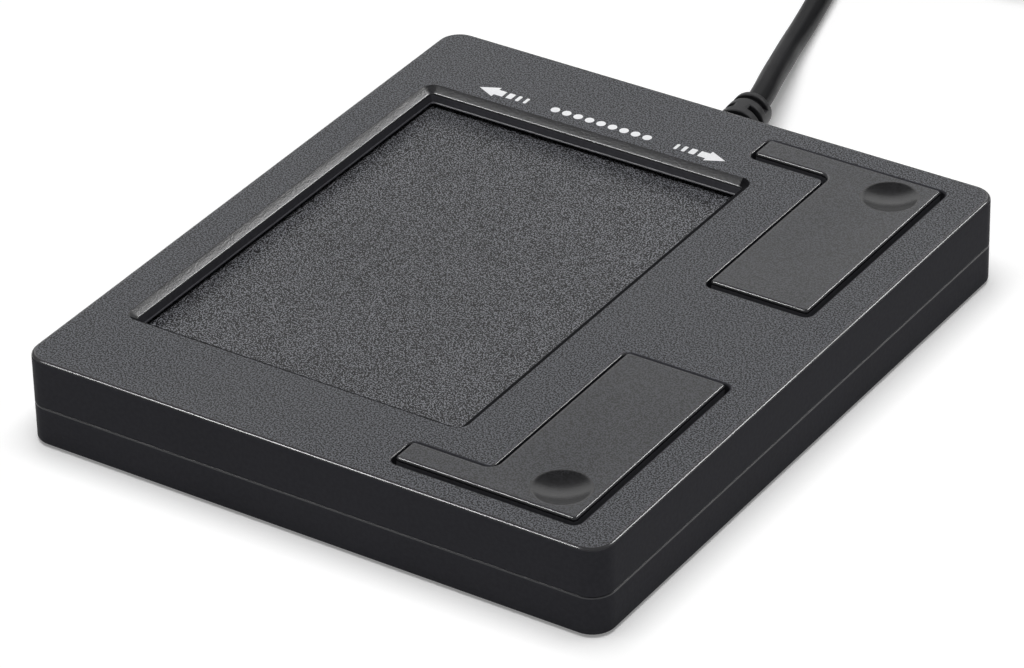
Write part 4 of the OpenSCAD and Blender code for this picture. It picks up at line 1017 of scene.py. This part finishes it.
def dimple_rings(y):
    """The finger dimple over circles about its middle: a ball's hollow that runs out to the flat of the
    cap, with the smooth greater of hollow and flat in place of a sharp rim."""
    ball = (dimple_r ** 2 + dimple_depth ** 2) / (2 * dimple_depth)
    rho = np.linspace(dimple_reach, 0, 34)
    hollow = dimple_depth - (ball - np.sqrt(ball ** 2 - rho ** 2))
    eased = (hollow + np.sqrt(hollow ** 2 + dimple_blend ** 2)) / 2
    return lathe(dimple_x, y, np.stack([rho, z_button - (eased - eased[0])], -1))


cap_stations = np.vstack([
    [(-cap_edge - cap_guard, z_button)], quarter((-cap_edge, z_button), (0, z_button - cap_edge), True, 8),
    [(0, z_button - cap_edge - edge_guard), (0, z_skirt), (-skirt_t, z_skirt), (-skirt_t, z_plate)]])
lugs = [(button_x0 + lug_in, button_x0 + lug_t), (button_x1 - lug_t, button_x1 - lug_in)]
stubs = [(button_x0 - stub_l, button_x0 + lug_t - stub_in),
         (button_x1 - lug_t + stub_in, button_x1 + stub_l)]
catches = [
    (button_x1 - skirt_t / 2, button_x1 + catch_reach, catch_y - catch_l / 2, catch_y + catch_l / 2),
    (dimple_x - catch_l / 2, dimple_x + catch_l / 2, button_y1 - skirt_t / 2, button_y1 + catch_reach),
    (leg_x0 - catch_reach, leg_x0 + skirt_t / 2, leg_y0 + catch_short, button_y1 - catch_short)]
cap_abs = moulded("button_grained_abs", (36, 37, 41), 0.32, 0.38, 0.18, 0.01, 0.98, 0.03, 22.0, 0.06)
# Painted shade: the finger dimple is painted darker than the cap, standing for the shade in its hollow.
dimple_painted_shade = moulded("button_dimple_painted_shade", (17, 17, 19), 0.22, 0.36, 0.18, 0.006, 0.9, 0.05, 22.0, 0.06)
for name, side in (("back", 1), ("front", -1)):
    cap_loop = button_loop(side)
    cap_rings = stacked(cap_loop, cap_stations)
    y_hinge, y_dimple = side * hinge_y, side * dimple_y
    rim = round_loop(dimple_x, y_dimple, dimple_reach)
    shells = [skin(cap_rings[:2], on_cap), skin(cap_rings[1:skirt_first + 1], on_rounding),
              skin(cap_rings[skirt_first:], on_skirt)]
    shells.append(plate(z_button, cap_loop(-cap_edge - cap_guard), [rim], on_cap))
    shells.append(plate(z_plate, cap_loop(-skirt_t), (), on_cap))
    shells.append(skin(dimple_rings(y_dimple), on_dimple))
    for x0, x1 in lugs:
        lug = oblong(x0, y_hinge - lug_half, x1, y_hinge + lug_half)
        shells.append(slab(lug, hinge_z - ear_drop, z_plate + cap_root))
    shells += [bar(round_loop(y_hinge, hinge_z, stub_r), x0, x1) for x0, x1 in stubs]
    for x0, x1, *ends in catches:
        y0, y1 = sorted(side * y for y in ends)
        shells.append(slab(oblong(x0, y0, x1, y1), z_skirt, z_catch))
    shells.append(post(dimple_x, y_dimple, post_r, z_plate + cap_root, post_low))
    # Painted light: the skirt takes the wall finish, painted lighter than the casing's colour.
    put_piece(name + "_cap", shells, [cap_abs, case_edge, dimple_painted_shade, case_wall_painted_light],
              (name + "_button",), name + "_button", 30.0)

# Screws and feet: three case screws and two board screws of zinc-plated steel, and four
# punched rubber pads, softly rounded at the rim, pressed into their beds.
foot_r, foot_t, foot_edge, foot_guard = 4.0, 0.8, 0.25, 0.1
zinc = drawn_metal("screw_zinc_plate", (150, 152, 156), (196, 198, 202), 0.34, (1, 1, 12))
dress(["case_screws", "board_screws"], zinc)
foot_profile = np.vstack([[(0, foot_t), (foot_r, foot_t), (foot_r, foot_edge + foot_guard)],
                          quarter((foot_r, foot_edge), (foot_r - foot_edge, 0), False), [(0, 0)]])
foot_rubber = moulded("foot_rubber", (30, 30, 31), 0.75, 0.3, 0.35, 0.03, 0.2)
foot_shells = [skin(lathe(x, y, foot_profile)) for x, y in foot_places]
put_piece("feet", foot_shells, [foot_rubber], ("rubber_feet",))

# Floor and light: a white floor that keeps the pad's shadow, a large soft box overhead
# that lights matt surfaces alone, three more that are seen only as reflections along the
# edges, and a weak even sky that is stronger in reflections.
floor_half, floor_glow = 4000.0, 0.22
sky_light, sky_gloss = 0.1, 0.36
floor_mesh = bpy.data.meshes.new("floor")
floor_corners = raised(oblong(-floor_half, -floor_half, floor_half, floor_half), 0.0) * MM
floor_mesh.from_pydata(floor_corners.tolist(), [], [(0, 1, 2, 3)])
floor = bpy.data.objects.new("floor", floor_mesh)
bpy.context.scene.collection.objects.link(floor)
paper, tree, shader, place = start_finish("floor_white_paper", 0.9, 0.0)
set_inputs(shader, {"Base Color": grey(0.9), "Emission Color": grey(1.0)})
floor_rays = tree.nodes.new("ShaderNodeLightPath")
shown = floor_rays.outputs["Is Camera Ray"]
for kind in ("Is Transmission Ray", "Is Glossy Ray"):
    either = tree.nodes.new("ShaderNodeMath")
    either.operation = "MAXIMUM"
    tree.links.new(shown, either.inputs[0])
    tree.links.new(floor_rays.outputs[kind], either.inputs[1])
    shown = either.outputs[0]
glow = tree.nodes.new("ShaderNodeMath")
glow.operation = "MULTIPLY"
glow.inputs[1].default_value = floor_glow
tree.links.new(shown, glow.inputs[0])
tree.links.new(glow.outputs[0], shader.inputs["Emission Strength"])
floor_mesh.materials.append(paper)


def soft_box(name, place, length, width, watts, matt=True, gloss=True):
    """An oblong lamp at a place, facing the origin, that lights matt surfaces, is mirrored in glossy ones,
    or both."""
    lamp = bpy.data.lights.new(name, "AREA")
    lamp.shape = "RECTANGLE"
    lamp.size = length * MM
    lamp.size_y = width * MM
    lamp.energy = watts
    holder = bpy.data.objects.new(name, lamp)
    way = (Vector((0, 0, 0)) - Vector(place)).normalized()
    turn = way.to_track_quat("-Z", "Y").to_matrix().to_4x4()
    holder.matrix_world = Matrix.Translation(Vector(place) * MM) @ turn
    holder.visible_camera = False
    holder.visible_diffuse = matt
    holder.visible_glossy = gloss
    bpy.context.scene.collection.objects.link(holder)


soft_box("overhead_box", (0, 0, 1100), 730, 730, 11.0, gloss=False)
soft_box("front_left_box", (-560, -550, 900), 240, 200, 5.2, matt=False)
soft_box("back_right_box", (494, 910, 780), 260, 260, 4.4, matt=False)
soft_box("back_left_panel", (-640, 960, 730), 1300, 560, 3.0, matt=False)

sky = bpy.data.worlds.new("even_sky")
sky.use_nodes = True
tree = sky.node_tree
backdrop = set_inputs(tree.nodes["Background"], {"Color": grey(1.0)})
sky_rays = tree.nodes.new("ShaderNodeLightPath")
sky_level = set_inputs(tree.nodes.new("ShaderNodeMapRange"), {"To Min": sky_light, "To Max": sky_gloss})
tree.links.new(sky_rays.outputs["Is Glossy Ray"], sky_level.inputs["Value"])
tree.links.new(sky_level.outputs["Result"], backdrop.inputs["Strength"])
bpy.context.scene.world = sky
bpy.context.scene.view_settings.view_transform = "Standard"
